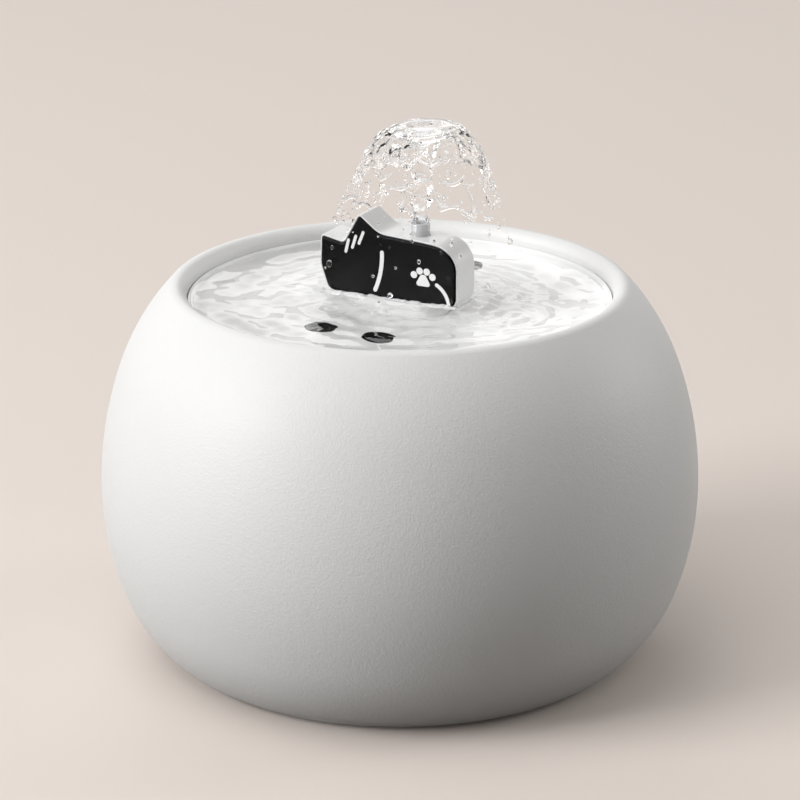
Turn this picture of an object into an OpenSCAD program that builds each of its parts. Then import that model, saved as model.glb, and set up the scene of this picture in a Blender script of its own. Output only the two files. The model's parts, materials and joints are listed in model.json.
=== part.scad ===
// Pet water fountain: round bowl with a removable drinking tray, a cat-shaped
// outlet cover, a filter basket and a submersible pump in its water tank.
// Millimetres, +Z up. Origin on the floor under the middle of the bowl.
// The flat face of the cat looks towards -Y, and the power socket is at +Y.

/* [Outer shell] */
// Largest width of the bowl
bowl_width = 210; // [200:1:220]
// Wall of the outer shell
shell_wall = 3; // [2.4:0.1:3.2]
// Radius of the rolled rim
rim_round = 3.6; // [3.4:0.1:4.2]
// Radius of the rounding at the foot
foot_arc = 12; // [10:0.5:16]
// Radius of the side above the foot
low_side_arc = 55; // [50:1:60]
// Radius of the side under the belly
belly_low_arc = 104; // [98:1:110]
// Radius of the side over the belly
belly_high_arc = 126; // [120:1:132]
// Radius of the shoulder
shoulder_arc = 83.5; // [80:0.5:88]
// Radius of the neck under the rim
neck_arc = 70.5; // [66:0.5:74]
// Height of the collar inside the mouth
collar_height = 12; // [10:0.5:13]

/* [Base] */
// Height that the rubber feet stand proud
foot_gap = 1; // [0.8:0.1:2]
// Radius of a rubber foot
foot_r = 6; // [4:0.5:6.5]
// Thickness of the base plate
base_wall = 2.4; // [2.2:0.1:3]
// Width of the joint that hides under the foot rounding
base_inset = 3.2; // [2.6:0.1:4]
// Number of snap hooks on the base plate
hook_count = 6; // [4:1:8]
// Radius of a base screw
screw_r = 1.4; // [1.2:0.1:1.6]

/* [Water tank] */
// Wall of the tank
tank_wall = 2.4; // [2:0.1:2.8]
// Air space between the base plate and the tank
tank_gap = 4.6; // [4:0.1:6]
// Width of the ledge that carries the tray
ledge_width = 3; // [2.6:0.1:3.6]
// Depth of the ledge below the tank's edge
ledge_depth = 2.8; // [2.2:0.1:3.4]
// Thickness of the gasket between tank and collar
gasket_t = 1.2; // [0.8:0.1:1.6]

/* [Drinking tray] */
// Depth of the pool
tray_depth = 8.6; // [7:0.1:10]
// Wall of the tray
tray_wall = 1.8; // [1.5:0.1:2.2]
// Floor of the tray
tray_floor = 2.2; // [1.8:0.1:2.6]
// Drop of the tray's edge below the lip
tray_drop = 1.3; // [1:0.1:2]
// Radius between the tray's floor and wall
tray_fillet = 6; // [4:0.5:7]
// Radius of a drain hole
drain_r = 5.5; // [4:0.5:6]
// Distance of the front drain holes from the middle
drain_front = 38; // [34:1:42]
// Angle of each front drain hole from straight ahead
drain_angle = 17; // [14:1:22]
// Distance of the rear drain hole from the middle
drain_rear = 51; // [44:1:53]
// Thickness of the tray seal
seal_t = 0.9; // [0.7:0.1:1.3]

/* [Filter] */
// Depth of the filter basket
basket_depth = 13.4; // [12.4:0.2:16]
// Wall of the filter basket
basket_wall = 1.6; // [1.2:0.1:1.8]
// Space left free between basket and tank
basket_space = 9.5; // [8:0.5:12]
// Radius of the basket's middle opening
basket_bore = 17; // [15:0.5:20]
// Angle that one bayonet hook covers
hook_angle = 30; // [26:1:34]
// Turn that frees the basket
basket_turn = 40; // [36:1:50]
// Thickness of the filter sponge
sponge_t = 4; // [3:0.2:4.4]

/* [Cat cover] */
// Thickness of the cat from front to back
cat_thick = 13.4; // [13:0.1:16]
// Wall of the cat
cat_wall = 1.8; // [1.4:0.1:1.9]
// Height of the cat's belly over the tray's floor
cat_lift = 8.4; // [8:0.1:11]
// Thickness of the front plate
plate_t = 1.5; // [1.2:0.1:2]
// Depth of the recess that the front plate sits in
plate_sink = 0.7; // [0.5:0.1:0.9]
// White edge left round the front plate
plate_edge = 0.8; // [0.6:0.1:1.2]
// Height of the raised print
print_t = 0.12; // [0.1:0.02:0.2]

/* [Outlet] */
// Distance of the outlet from the middle of the bowl
outlet_x = 8; // [6:0.5:10]
// Outer radius of the riser tube
riser_r = 4.4; // [4.2:0.1:4.5]
// Bore radius of the riser tube
riser_bore = 3.2; // [3:0.1:3.4]
// Radius of the nozzle tip
nozzle_r = 3.5; // [3.2:0.1:3.7]
// Height that the nozzle stands out of the cat
nozzle_out = 4.8; // [4:0.1:6]
// Bore radius of the nozzle
nozzle_bore = 1.7; // [1.2:0.1:2]

/* [Water] */
// Height of the water bell over the nozzle
jet_height = 35.3; // [30:0.5:40]
// Radius of the water bell's skirt
bell_r = 25; // [22:0.5:28]

/* [Pump] */
// Width of the pump
pump_w = 40; // [38:0.5:44]
// Height of the pump
pump_h = 31; // [30:0.5:34]
// Length of the pump body behind the outlet
pump_back = 46; // [45:0.5:50]
// Length of the pump body before the outlet
pump_front = 8; // [7.6:0.1:9]
// Wall of the pump
pump_wall = 2; // [1.6:0.1:2.2]
// Depth of the front cover
cover_depth = 12; // [11:0.5:14]
// Radius of the impeller
impeller_r = 11; // [10:0.1:11.6]
// Radius of the rotor magnet
magnet_r = 6.3; // [5.8:0.1:6.6]
// Length of the rotor magnet
magnet_l = 18; // [16:0.5:18.5]
// Radius of the pump shaft
shaft_r = 1; // [0.8:0.1:1.2]
// Height of the suction cups
cup_h = 4.2; // [3.6:0.1:5]

/* [Power] */
// Height of the power socket
inlet_z = 44; // [42:1:50]
// Radius of the pocket round the socket
pocket_r = 8; // [7.6:0.1:9]
// Depth of the pocket at the socket's height
pocket_depth = 5; // [4.4:0.1:6]
// Radius of the socket barrel
socket_r = 4; // [3.8:0.1:4.4]
// Length of the socket barrel
socket_l = 10; // [9.6:0.2:11]
// Bore radius of the socket
socket_bore = 2.8; // [2.6:0.1:2.9]
// Radius of the pump lead
lead_r = 1.7; // [1.4:0.1:1.8]
// Bend radius of the pump lead
lead_bend = 7; // [6.8:0.1:7.6]
// Depth of the lead gland below the tank's edge
gland_depth = 23; // [21:0.5:27]

/* [Hidden] */

$fn = 96;
// Clearance between pieces that move past each other
gap = 0.3;
// Clearance of a close fit
fit = 0.1;
// Radial clearance of the rotor on its shaft
shaft_fit = 0.05;
// Radial clearance of the shaft in its bushes
bush_fit = 0.02;
// Overshoot that makes a cut go right through
over = 1;
// Largest angle between two points on a rounded outline
arc_step = 5;

function dir(a) = [cos(a), sin(a)];

// ---- profile of the shell: arcs that meet tangent to each other ----
// Direction of the shell's outward normal where one arc ends and the next begins
side_turns = [-90, -48, -20, 0, 20, 36, 44, 180];
side_arcs = [foot_arc, low_side_arc, belly_low_arc, belly_high_arc, shoulder_arc, neck_arc, rim_round];
// The arcs before this one stand under the widest point, where the normal is level
belly_turn = search(0, side_turns)[0];

function arc_move(arcs, i) = arcs[i] * (dir(side_turns[i + 1]) - dir(side_turns[i]));
function chain_end(arcs, i, n) = i == n ? [0, 0] : arc_move(arcs, i) + chain_end(arcs, i + 1, n);

foot_flat_r = bowl_width / 2 - chain_end(side_arcs, 0, belly_turn)[0];
profile_start = [foot_flat_r, foot_gap];
lip = profile_start + chain_end(side_arcs, 0, len(side_arcs));
mouth_r = lip[0];
lip_z = lip[1];

// Points of the profile, set in from the outside by inset
function profile_arc(start, arc, a0, a1) =
  let (n = ceil((a1 - a0) / arc_step))
  [for (k = [1:n]) start + arc * (dir(a0 + (a1 - a0) * k / n) - dir(a0))];
function profile_from(start, arcs, i) =
  i == len(arcs) ? [] :
  let (part = profile_arc(start, arcs[i], side_turns[i], side_turns[i + 1]))
  concat(part, profile_from(part[len(part) - 1], arcs, i + 1));
function profile(inset) =
  let (start = profile_start - inset * dir(side_turns[0]))
  concat([start], profile_from(start, [for (a = side_arcs) a - inset], 0));

function reversed(list) = [for (i = [len(list) - 1:-1:0]) list[i]];

// ---- heights from the floor up ----
base_z = foot_gap;
base_top = base_z + base_wall;
tank_z = base_top + tank_gap;
tank_floor_z = tank_z + tank_wall;
pump_z = tank_floor_z + cup_h;
pump_top = pump_z + pump_h;
rotor_rise = 1;
rotor_z = pump_z + pump_h / 2 + rotor_rise;

// ---- heights from the lip down ----
collar_z = lip_z - collar_height;
tank_top = collar_z - gasket_t;
ledge_z = tank_top - ledge_depth;
tray_z = ledge_z + seal_t + fit;
tray_top = lip_z - tray_drop;
pool_z = tray_top - tray_depth;
tray_under = pool_z - tray_floor;
gland_z = tank_top - gland_depth;

// ---- radii ----
tank_r = mouth_r - ledge_width;
tank_out_r = tank_r + tank_wall;
tray_r = mouth_r - gap;
base_r = foot_flat_r + base_inset;
flange_r = mouth_r + shell_wall + 2 * gap;
basket_r = tank_r - basket_space - 2 * basket_wall;

// ================================================================ shell and base

flange_t = 2.2;
flange_z = base_top + gap;
pocket_floor = 2.4;
pocket_wall = 2.2;
// Radius of the side at the socket's height
side_r = lookup(inlet_z, [for (p = profile(0)) [p[1], p[0]]]);
pocket_y = side_r - pocket_depth;

module shell_outside() {
  rotate_extrude() polygon(concat(profile(0), [[0, lip_z], [0, foot_gap]]));
}

module along_y(x, y, z) {
  translate([x, y, z]) rotate([-90, 0, 0]) children();
}

module outer_shell() {
  color("white")
  difference() {
    union() {
      rotate_extrude() polygon(concat(
        profile(0),
        [[mouth_r, collar_z], [mouth_r + shell_wall, collar_z]],
        reversed(profile(shell_wall))));
      rotate_extrude() intersection() {
        polygon(concat(profile(0), [[0, lip_z], [0, foot_gap]]));
        translate([flange_r, flange_z]) square([foot_flat_r, flange_t]);
      }
      intersection() {
        shell_outside();
        along_y(0, pocket_y - pocket_floor, inlet_z)
          cylinder(r = pocket_r + pocket_wall, h = bowl_width);
      }
    }
    translate([0, 0, -over]) cylinder(r = base_r + gap, h = flange_z + over);
    cylinder(r = flange_r, h = flange_z + flange_t + over);
    along_y(0, pocket_y, inlet_z) cylinder(r = pocket_r, h = bowl_width);
    along_y(0, pocket_y - pocket_floor - over, inlet_z)
      cylinder(r = socket_r + fit, h = pocket_floor + 2 * over);
  }
}

screw_head_r = 2 * screw_r;
screw_head_t = 1.2;
screw_post_r = 4.2;
screw_bite = 5;
screw_inset = 14;
screw_ring = tank_r - screw_inset;
foot_inset = 9;
foot_ring = foot_flat_r - foot_inset;
first_hook_angle = 22.5;
foot_sink = 1.1;
hook_span = 12;
hook_stem = 1.8;
hook_nose = 1.4;
hook_head = 2;

module at_screws() {
  for (a = [0:90:270]) rotate(a) translate([screw_ring, 0, 0]) children();
}

module at_feet() {
  for (a = [45:90:315]) rotate(a) translate([foot_ring, 0, 0]) children();
}

// Side view of a snap hook that reaches over the shell's flange
module snap_hook() {
  stem_r = flange_r - gap - hook_stem;
  nose_z = flange_z + flange_t + gap;
  rotate([0, 0, -hook_span / 2]) rotate_extrude(angle = hook_span) polygon([
    [stem_r, base_top - fit], [stem_r + hook_stem, base_top - fit], [stem_r + hook_stem, nose_z],
    [stem_r + hook_stem + hook_nose, nose_z], [stem_r + hook_stem, nose_z + hook_head],
    [stem_r, nose_z + hook_head]]);
}

module base_plate() {
  color("gainsboro")
  difference() {
    union() {
      translate([0, 0, base_z]) cylinder(r = base_r, h = base_wall);
      for (k = [0:hook_count - 1]) rotate(first_hook_angle + k * 360 / hook_count) snap_hook();
    }
    at_screws() {
      translate([0, 0, base_z - over]) cylinder(r = screw_head_r + fit, h = screw_head_t + over);
      translate([0, 0, base_z - over]) cylinder(r = screw_r + fit, h = base_wall + 2 * over);
    }
    at_feet() translate([0, 0, base_z - over]) cylinder(r = foot_r + fit, h = foot_sink + over);
  }
}

module base_screws() {
  color("silver")
  at_screws() {
    translate([0, 0, base_z]) cylinder(r = screw_head_r, h = screw_head_t);
    translate([0, 0, base_z + screw_head_t - fit])
      cylinder(r = screw_r, h = base_wall - screw_head_t + fit + screw_bite);
  }
}

module rubber_feet() {
  color("dimgray")
  at_feet() cylinder(r = foot_r, h = foot_gap + foot_sink);
}

// ================================================================ tank

gland_neck = 1.5;
gland_hole_r = lead_r + gland_neck;
tank_round = 6;

module water_tank() {
  shoulder_z = ledge_z - tank_wall;
  floor_arc = tank_round - tank_wall;
  color("whitesmoke")
  difference() {
    union() {
      rotate_extrude() polygon(concat(
        [[0, tank_z], [tank_out_r - tank_round, tank_z]],
        [for (a = [-90 + arc_step:arc_step:-arc_step])
          [tank_out_r - tank_round, tank_z + tank_round] + tank_round * dir(a)],
        [[tank_out_r, tank_z + tank_round], [tank_out_r, shoulder_z - ledge_width],
          [tank_out_r + ledge_width, shoulder_z], [tank_out_r + ledge_width, tank_top],
          [mouth_r, tank_top], [mouth_r, ledge_z], [tank_r, ledge_z],
          [tank_r, tank_z + tank_round]],
        [for (a = [-arc_step:-arc_step:-90 + arc_step])
          [tank_r - floor_arc, tank_z + tank_round] + floor_arc * dir(a)],
        [[tank_r - floor_arc, tank_floor_z], [0, tank_floor_z]]));
      at_screws() translate([0, 0, base_top]) cylinder(r = screw_post_r, h = tank_gap + fit);
    }
    at_screws() translate([0, 0, base_top - over])
      cylinder(r = screw_r + shaft_fit, h = over + screw_bite + fit);
    along_y(0, 0, gland_z) cylinder(r = gland_hole_r, h = bowl_width);
  }
}

module tank_gasket() {
  color("lightgray")
  translate([0, 0, tank_top]) difference() {
    cylinder(r = tank_out_r + ledge_width - gap, h = gasket_t);
    translate([0, 0, -over]) cylinder(r = mouth_r + gap, h = gasket_t + 2 * over);
  }
}

// ================================================================ power

socket_flange_r = 6.2;
socket_flange_t = 1.4;
nut_t = 2.4;
nut_r = 6.2;
pin_r = 1;
pin_l = 7;
socket_end_wall = 2.5;
socket_back = pocket_y - socket_l;

module power_socket() {
  color([0.12, 0.12, 0.12])
  difference() {
    union() {
      along_y(0, socket_back, inlet_z) cylinder(r = socket_r, h = socket_l + fit);
      along_y(0, pocket_y, inlet_z) cylinder(r = socket_flange_r, h = socket_flange_t);
    }
    along_y(0, socket_back + socket_end_wall, inlet_z)
      cylinder(r = socket_bore, h = socket_l + 2 * over);
    along_y(0, socket_back - over, inlet_z)
      cylinder(r = pin_r + fit, h = socket_end_wall + 2 * over);
  }
}

module socket_nut() {
  color("silver")
  along_y(0, pocket_y - pocket_floor - nut_t - fit, inlet_z) difference() {
    cylinder(r = nut_r, h = nut_t, $fn = 6);
    translate([0, 0, -over]) cylinder(r = socket_r + fit, h = nut_t + 2 * over);
  }
}

module socket_pin() {
  color("goldenrod")
  along_y(0, socket_back + fit, inlet_z) cylinder(r = pin_r, h = pin_l);
}

gland_r = gland_hole_r + 1.7;
gland_flange = 1.2;
// The tank's wall curves away from the gland's flat flange
wall_bow = 0.4;

module lead_gland() {
  color([0.15, 0.15, 0.15])
  difference() {
    along_y(0, tank_r - gland_flange - wall_bow, gland_z)
      cylinder(r = gland_r, h = tank_wall + 2 * gland_flange + wall_bow);
    along_y(0, tank_r - 3 * over, gland_z) cylinder(r = lead_r + fit, h = tank_wall + 6 * over);
    difference() {
      translate([0, 0, gland_z - 2 * gland_r]) difference() {
        cylinder(r = tank_out_r + shaft_fit, h = 4 * gland_r);
        cylinder(r = tank_r - shaft_fit, h = 4 * gland_r);
      }
      along_y(0, 0, gland_z) cylinder(r = gland_hole_r - shaft_fit, h = bowl_width);
    }
  }
}

// Route of the lead in the plane x = 0: socket, up the dry space, through the
// gland, down inside the tank and into the back of the pump
lead_out_y = socket_back - fit - lead_bend;
lead_in_y = tank_r - gland_flange - over - lead_bend;
rear_cover_t = 2;
pump_rear_y = pump_back + rear_cover_t;
pump_boss_l = 4;
boss_wall = 1.4;
lead_drop = 6;
lead_low_z = rotor_z - lead_drop;

lead_sides = 8;
bend_steps = 6;

// A point of the route is [y, z, heading], where the heading is its angle in that plane.
// Quarter bend round the centre (y, z) that starts at angle a0 and turns by 90 * side
function lead_turn(y, z, a0, side) =
  [for (k = [0:bend_steps]) let (a = a0 + side * 90 * k / bend_steps)
    [y + lead_bend * cos(a), z + lead_bend * sin(a), a + 90 * side]];
function lead_route() = concat(
  lead_turn(lead_out_y + lead_bend, inlet_z + lead_bend, 270, -1),
  lead_turn(lead_out_y - lead_bend, gland_z - lead_bend, 0, 1),
  lead_turn(lead_in_y + lead_bend, gland_z - lead_bend, 90, 1),
  lead_turn(lead_in_y - lead_bend, lead_low_z + lead_bend, 0, -1),
  [[pump_rear_y + over, lead_low_z, 180]]);

module pump_lead() {
  route = lead_route();
  last = len(route) - 1;
  points = [for (p = route, k = [0:lead_sides - 1])
    let (side = lead_r * cos(k * 360 / lead_sides), up = lead_r * sin(k * 360 / lead_sides))
    [side, p[0] - up * sin(p[2]), p[1] + up * cos(p[2])]];
  walls = [for (i = [0:last - 1], k = [0:lead_sides - 1])
    let (a = i * lead_sides + k, b = i * lead_sides + (k + 1) % lead_sides)
    [a, b, b + lead_sides, a + lead_sides]];
  ends = [[for (k = [lead_sides - 1:-1:0]) k], [for (k = [0:lead_sides - 1]) last * lead_sides + k]];
  color([0.1, 0.1, 0.1]) polyhedron(points, concat(walls, ends));
}

// ================================================================ pump

// The pump's front face, where its front cover is pushed on
face_y = -pump_front;
chamber_space = 1.6;
chamber_r = impeller_r + chamber_space;
chamber_back = 6;
chamber_lid_t = 2.2;
lid_seat = 1.5;
well_space = 0.7;
well_r = magnet_r + well_space;
well_wall = 1.2;
magnet_play = 0.5;
well_end = chamber_back + magnet_l + magnet_play;
bush_wall = 1.4;
bush_r = shaft_r + bush_wall;
bush_l = 3;
spigot_wall = 0.9;
spigot_r = riser_bore - fit;
spigot_bore = spigot_r - spigot_wall;
spigot_l = 8;
shaft_inset = 0.4;
shaft_front = face_y + shaft_inset;
shaft_back = well_end + bush_l - shaft_inset;
pump_round = 3;
inner_round = 0.5;

module at_outlet() {
  translate([outlet_x, 0, 0]) children();
}

module at_rotor(y) {
  along_y(outlet_x, y, rotor_z) children();
}

// Box with rounded upright edges, centred on the outlet, from y0 to y1
module pump_box(inset, y0, y1, z0, z1, round_r) {
  w = pump_w / 2 - inset;
  translate([outlet_x, 0, z0]) linear_extrude(z1 - z0) union() {
    translate([-w, y0 + round_r]) square([2 * w, y1 - y0 - 2 * round_r]);
    translate([-w + round_r, y0]) square([2 * (w - round_r), y1 - y0]);
    for (x = [-w + round_r, w - round_r], y = [y0 + round_r, y1 - round_r])
      translate([x, y]) circle(r = round_r);
  }
}

cup_inset = 8;
cup_front = 2;
cup_r = 6;
cup_lip = 0.6;
cup_hollow = 1.2;
cup_stem_r = 2;
cup_stem = 1.4;
cup_neck_r = 3;

module at_cups() {
  for (side = [-1, 1], y = [cup_front, pump_back - cup_inset])
    translate([outlet_x + side * (pump_w / 2 - cup_inset), y, 0]) children();
}

module pump_housing() {
  color([0.16, 0.17, 0.18])
  difference() {
    union() {
      pump_box(0, face_y, pump_back, pump_z, pump_top, pump_round);
      at_outlet() translate([0, 0, pump_top - fit]) cylinder(r = spigot_r, h = spigot_l + fit);
    }
    // space for the motor, behind the chamber and round the rotor's well
    difference() {
      pump_box(pump_wall, chamber_back + pump_wall, pump_back + over,
        pump_z + pump_wall, pump_top - pump_wall, inner_round);
      at_rotor(chamber_back) cylinder(r = well_r + well_wall, h = magnet_l + bush_l + 2 * well_wall);
    }
    // chamber, its lid's seat, the rotor's well and the rear bush's pocket
    at_rotor(face_y - over) cylinder(r = chamber_r + lid_seat, h = chamber_lid_t + over);
    at_rotor(face_y) cylinder(r = chamber_r, h = chamber_back - face_y);
    at_rotor(0) cylinder(r = well_r, h = well_end);
    at_rotor(0) cylinder(r = bush_r + shaft_fit, h = well_end + bush_l);
    at_outlet() translate([0, 0, rotor_z]) cylinder(r = spigot_bore, h = pump_h + spigot_l);
    at_cups() translate([0, 0, pump_z - over]) cylinder(r = cup_stem_r + fit, h = cup_stem + over);
  }
}

module pump_rear_cover() {
  color([0.16, 0.17, 0.18])
  difference() {
    union() {
      pump_box(0, pump_back + shaft_fit, pump_back + rear_cover_t, pump_z, pump_top,
        inner_round);
      along_y(0, pump_back + rear_cover_t - fit, lead_low_z)
        cylinder(r = lead_r + boss_wall, h = pump_boss_l + fit);
    }
    along_y(0, pump_back - over, lead_low_z)
      cylinder(r = lead_r + fit, h = rear_cover_t + pump_boss_l + 2 * over);
  }
}

board_t = 1.2;
board_gap = 1;
board_hole_r = 1;
board_hole_inset = 8;
board_hole_z = 5;

module driver_board() {
  color("darkgreen")
  difference() {
    translate([outlet_x - pump_w / 2 + pump_wall + gap, pump_back - board_gap - board_t,
      pump_z + pump_wall + fit])
      cube([pump_w - 2 * pump_wall - 2 * gap, board_t, pump_h - 2 * pump_wall - 2 * fit]);
    for (side = [-1, 1])
      translate([outlet_x + side * (pump_w / 2 - board_hole_inset), pump_back, pump_z + board_hole_z])
        rotate([90, 0, 0]) cylinder(r = board_hole_r, h = 2 * board_gap + 2 * board_t);
  }
}

core_leg = 4.6;
core_t = 10;
core_gap = 0.4;
core_yoke = 5;
coil_t = 2.6;
coil_room = 0.8;
core_back = pump_back - board_gap - board_t - coil_room - coil_t;
// Space left between the chamber and the front of the core
core_room = 5;

module stator_core() {
  leg_x = well_r + well_wall + core_gap;
  color("slategray")
  translate([outlet_x, 0, rotor_z - core_t / 2]) linear_extrude(core_t) {
    for (side = [-1, 1])
      translate([side * (leg_x + core_leg / 2) - core_leg / 2, chamber_back + core_room])
        square([core_leg, core_back - chamber_back - core_room]);
    translate([-leg_x - core_leg, core_back - core_yoke]) square([2 * (leg_x + core_leg), core_yoke]);
  }
}

module stator_coil() {
  w = well_r + well_wall;
  y0 = core_back - core_yoke - coil_t;
  color("peru")
  difference() {
    translate([outlet_x - w, y0, rotor_z - core_t / 2 - coil_t])
      cube([2 * w, core_yoke + 2 * coil_t, core_t + 2 * coil_t]);
    translate([outlet_x - w - over, y0 + coil_t - fit, rotor_z - core_t / 2 - fit])
      cube([2 * w + 2 * over, core_yoke + 2 * fit, core_t + 2 * fit]);
  }
}

lid_hub_r = 4;
lid_bore = 7.5;
lid_windows = 3;
lid_spoke_angle = 22;

module impeller_cover() {
  window_angle = 360 / lid_windows - lid_spoke_angle;
  color([0.25, 0.26, 0.28])
  at_rotor(face_y) difference() {
    cylinder(r = chamber_r + lid_seat - fit, h = chamber_lid_t - fit);
    for (k = [0:lid_windows - 1]) rotate(k * 360 / lid_windows + lid_spoke_angle / 2)
      rotate_extrude(angle = window_angle)
        translate([lid_hub_r, -over]) square([lid_bore - lid_hub_r, chamber_lid_t + 2 * over]);
    translate([0, 0, -over]) cylinder(r = bush_r + shaft_fit, h = chamber_lid_t + 2 * over);
  }
}

module bush(length) {
  difference() {
    cylinder(r = bush_r, h = length);
    translate([0, 0, -over]) cylinder(r = shaft_r + bush_fit, h = length + 2 * over);
  }
}

module front_bush() {
  color([0.1, 0.1, 0.1]) at_rotor(face_y + fit) bush(chamber_lid_t - 2 * fit);
}

module rear_bush() {
  color([0.1, 0.1, 0.1]) at_rotor(well_end + fit) bush(bush_l - fit);
}

module pump_shaft() {
  color("ivory") at_rotor(shaft_front) cylinder(r = shaft_r, h = shaft_back - shaft_front);
}

module suction_cups() {
  color([0.2, 0.2, 0.2])
  at_cups() translate([0, 0, tank_floor_z]) rotate_extrude() polygon([
    [0, cup_hollow], [cup_r - cup_lip, 0], [cup_r, 0], [cup_neck_r, cup_h - cup_stem],
    [cup_neck_r, cup_h], [cup_stem_r, cup_h], [cup_stem_r, cup_h + cup_stem], [0, cup_h + cup_stem]]);
}

riser_low_z = pump_top + fit;

module riser_tube() {
  color([0.85, 0.88, 0.9])
  at_outlet() translate([0, 0, riser_low_z]) difference() {
    cylinder(r = riser_r, h = riser_top - riser_low_z);
    translate([0, 0, -over]) cylinder(r = riser_bore, h = riser_top - riser_low_z + 2 * over);
  }
}

// ---- rotor ----
blade_count = 6;
blade_t = 1.4;
hub_r = 3.2;
disc_t = 1;
rotor_play = 1;
hub_nose = 1;
rotor_front = face_y + chamber_lid_t + rotor_play;
disc_y = chamber_back - gap - disc_t;

module impeller() {
  color("white")
  at_rotor(rotor_front) difference() {
    union() {
      cylinder(r = hub_r, h = disc_y + disc_t - rotor_front);
      translate([0, 0, disc_y - rotor_front]) cylinder(r = impeller_r, h = disc_t);
      for (k = [0:blade_count - 1]) rotate(k * 360 / blade_count)
        translate([0, -blade_t / 2, hub_nose])
          cube([impeller_r - gap, blade_t, disc_y - rotor_front]);
    }
    translate([0, 0, -over])
      cylinder(r = shaft_r + shaft_fit, h = disc_y + disc_t - rotor_front + 2 * over);
  }
}

module rotor_magnet() {
  color([0.2, 0.2, 0.22])
  at_rotor(disc_y + disc_t) difference() {
    cylinder(r = magnet_r, h = magnet_l);
    translate([0, 0, -over]) cylinder(r = shaft_r + shaft_fit, h = magnet_l + 2 * over);
  }
}

// ---- front cover ----
cover_wall = 1.6;
intake_r = 2.2;
intake_ring = 6.5;
intake_count = 6;
cover_y = face_y - gap - cover_depth;
cover_round = 1;
shutter_r = 10;
shutter_t = 1.4;
pivot_r = 1.6;
pivot_end = 0.8;
grip_w = 1.6;
grip_inset = 1;
side_slots = 5;
side_slot_pitch = 4;
side_slot_h = 1.6;
side_slot_l = 5;
sponge_room = 1.4;

module at_intakes() {
  for (k = [0:intake_count - 1]) rotate(k * 360 / intake_count) translate([intake_ring, 0, 0]) children();
}

module pump_front_cover() {
  color([0.16, 0.17, 0.18])
  difference() {
    pump_box(0, cover_y, face_y - gap, pump_z, pump_top, pump_round);
    pump_box(cover_wall, cover_y + cover_wall, face_y + over, pump_z + cover_wall,
      pump_top - cover_wall, cover_round);
    at_rotor(cover_y - over) {
      at_intakes() cylinder(r = intake_r, h = cover_wall + 2 * over);
      cylinder(r = pivot_r + shaft_fit, h = cover_wall + 2 * over);
    }
    // slots in both sides
    for (side = [-1, 1], k = [0:side_slots - 1])
      translate([outlet_x + side * pump_w / 2 - 2 * cover_wall,
        face_y - gap - (cover_depth + side_slot_l) / 2,
        rotor_z + (k - (side_slots - 1) / 2) * side_slot_pitch - side_slot_h / 2])
        cube([4 * cover_wall, side_slot_l, side_slot_h]);
  }
}

module intake_sponge() {
  s = cover_wall + gap;
  color([0.25, 0.28, 0.32])
  pump_box(s, cover_y + s + sponge_room, face_y - 4 * gap, pump_z + s, pump_top - s, cover_round);
}

module flow_regulator() {
  color("lightgray")
  at_rotor(cover_y - gap - shutter_t) difference() {
    union() {
      cylinder(r = shutter_r, h = shutter_t);
      cylinder(r = pivot_r, h = shutter_t + gap + cover_wall + pivot_end);
      translate([-shutter_r + grip_inset, -grip_w / 2, -grip_w])
        cube([2 * (shutter_r - grip_inset), grip_w, grip_w + fit]);
    }
    at_intakes() translate([0, 0, -2 * over]) cylinder(r = intake_r, h = shutter_t + 4 * over);
  }
}

// ================================================================ tray

boss_r = 7.4;
boss_h = 5.8;
boss_bore = riser_r + gap;
ring_sink = 1.9;
ring_t = 2;
ring_rise = 1.6;
ring_z = pool_z + ring_rise;
// Wall of the tray's lower edge, which stands on the seal
rim_wall = 2.5;
rim_flat = 0.6;
rim_slope = 1;
lug_out = 1.6;
lug_t = 2.8;
skirt_r = basket_r + 2 * gap + lug_out;
skirt_wall = 2;
lug_angle = 24;
hook_t = 2.5;
stop_angle = 2;
// The bayonet's first hook stands at this angle, and the skirt reaches a little below the hooks
bayonet_start = 60;
skirt_low = 0.4;
basket_room = 2;
basket_top = tray_under - basket_room;
basket_z = basket_top - basket_depth;
lug_drop = 1;
lug_z = basket_top - lug_drop - lug_t;

module at_drains() {
  for (a = [-drain_angle, drain_angle]) rotate(a) translate([0, -drain_front, 0]) children();
  translate([0, drain_rear, 0]) children();
}

module drinking_tray() {
  inner_r = tray_r - tray_wall;
  color("white")
  difference() {
    union() {
      rotate_extrude() polygon(concat(
        [[0, tray_under], [tray_r - rim_wall, tray_under], [tray_r - rim_wall, tray_z],
          [tray_r, tray_z], [tray_r, tray_top], [tray_r - rim_flat, tray_top],
          [inner_r, tray_top - rim_slope]],
        [for (a = [0:-arc_step:-90])
          [inner_r - tray_fillet, pool_z + tray_fillet] + tray_fillet * dir(a)],
        [[0, pool_z]]));
      at_outlet() translate([0, 0, tray_under]) cylinder(r = boss_r, h = tray_floor + boss_h);
    }
    at_outlet() translate([0, 0, tray_under - over])
      cylinder(r = boss_bore, h = tray_floor + boss_h + 2 * over);
    at_outlet() translate([0, 0, ring_z]) cylinder(r = boss_bore + ring_sink, h = ring_t);
    at_drains() translate([0, 0, tray_under - over]) cylinder(r = drain_r, h = tray_floor + 2 * over);
  }
}

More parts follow.
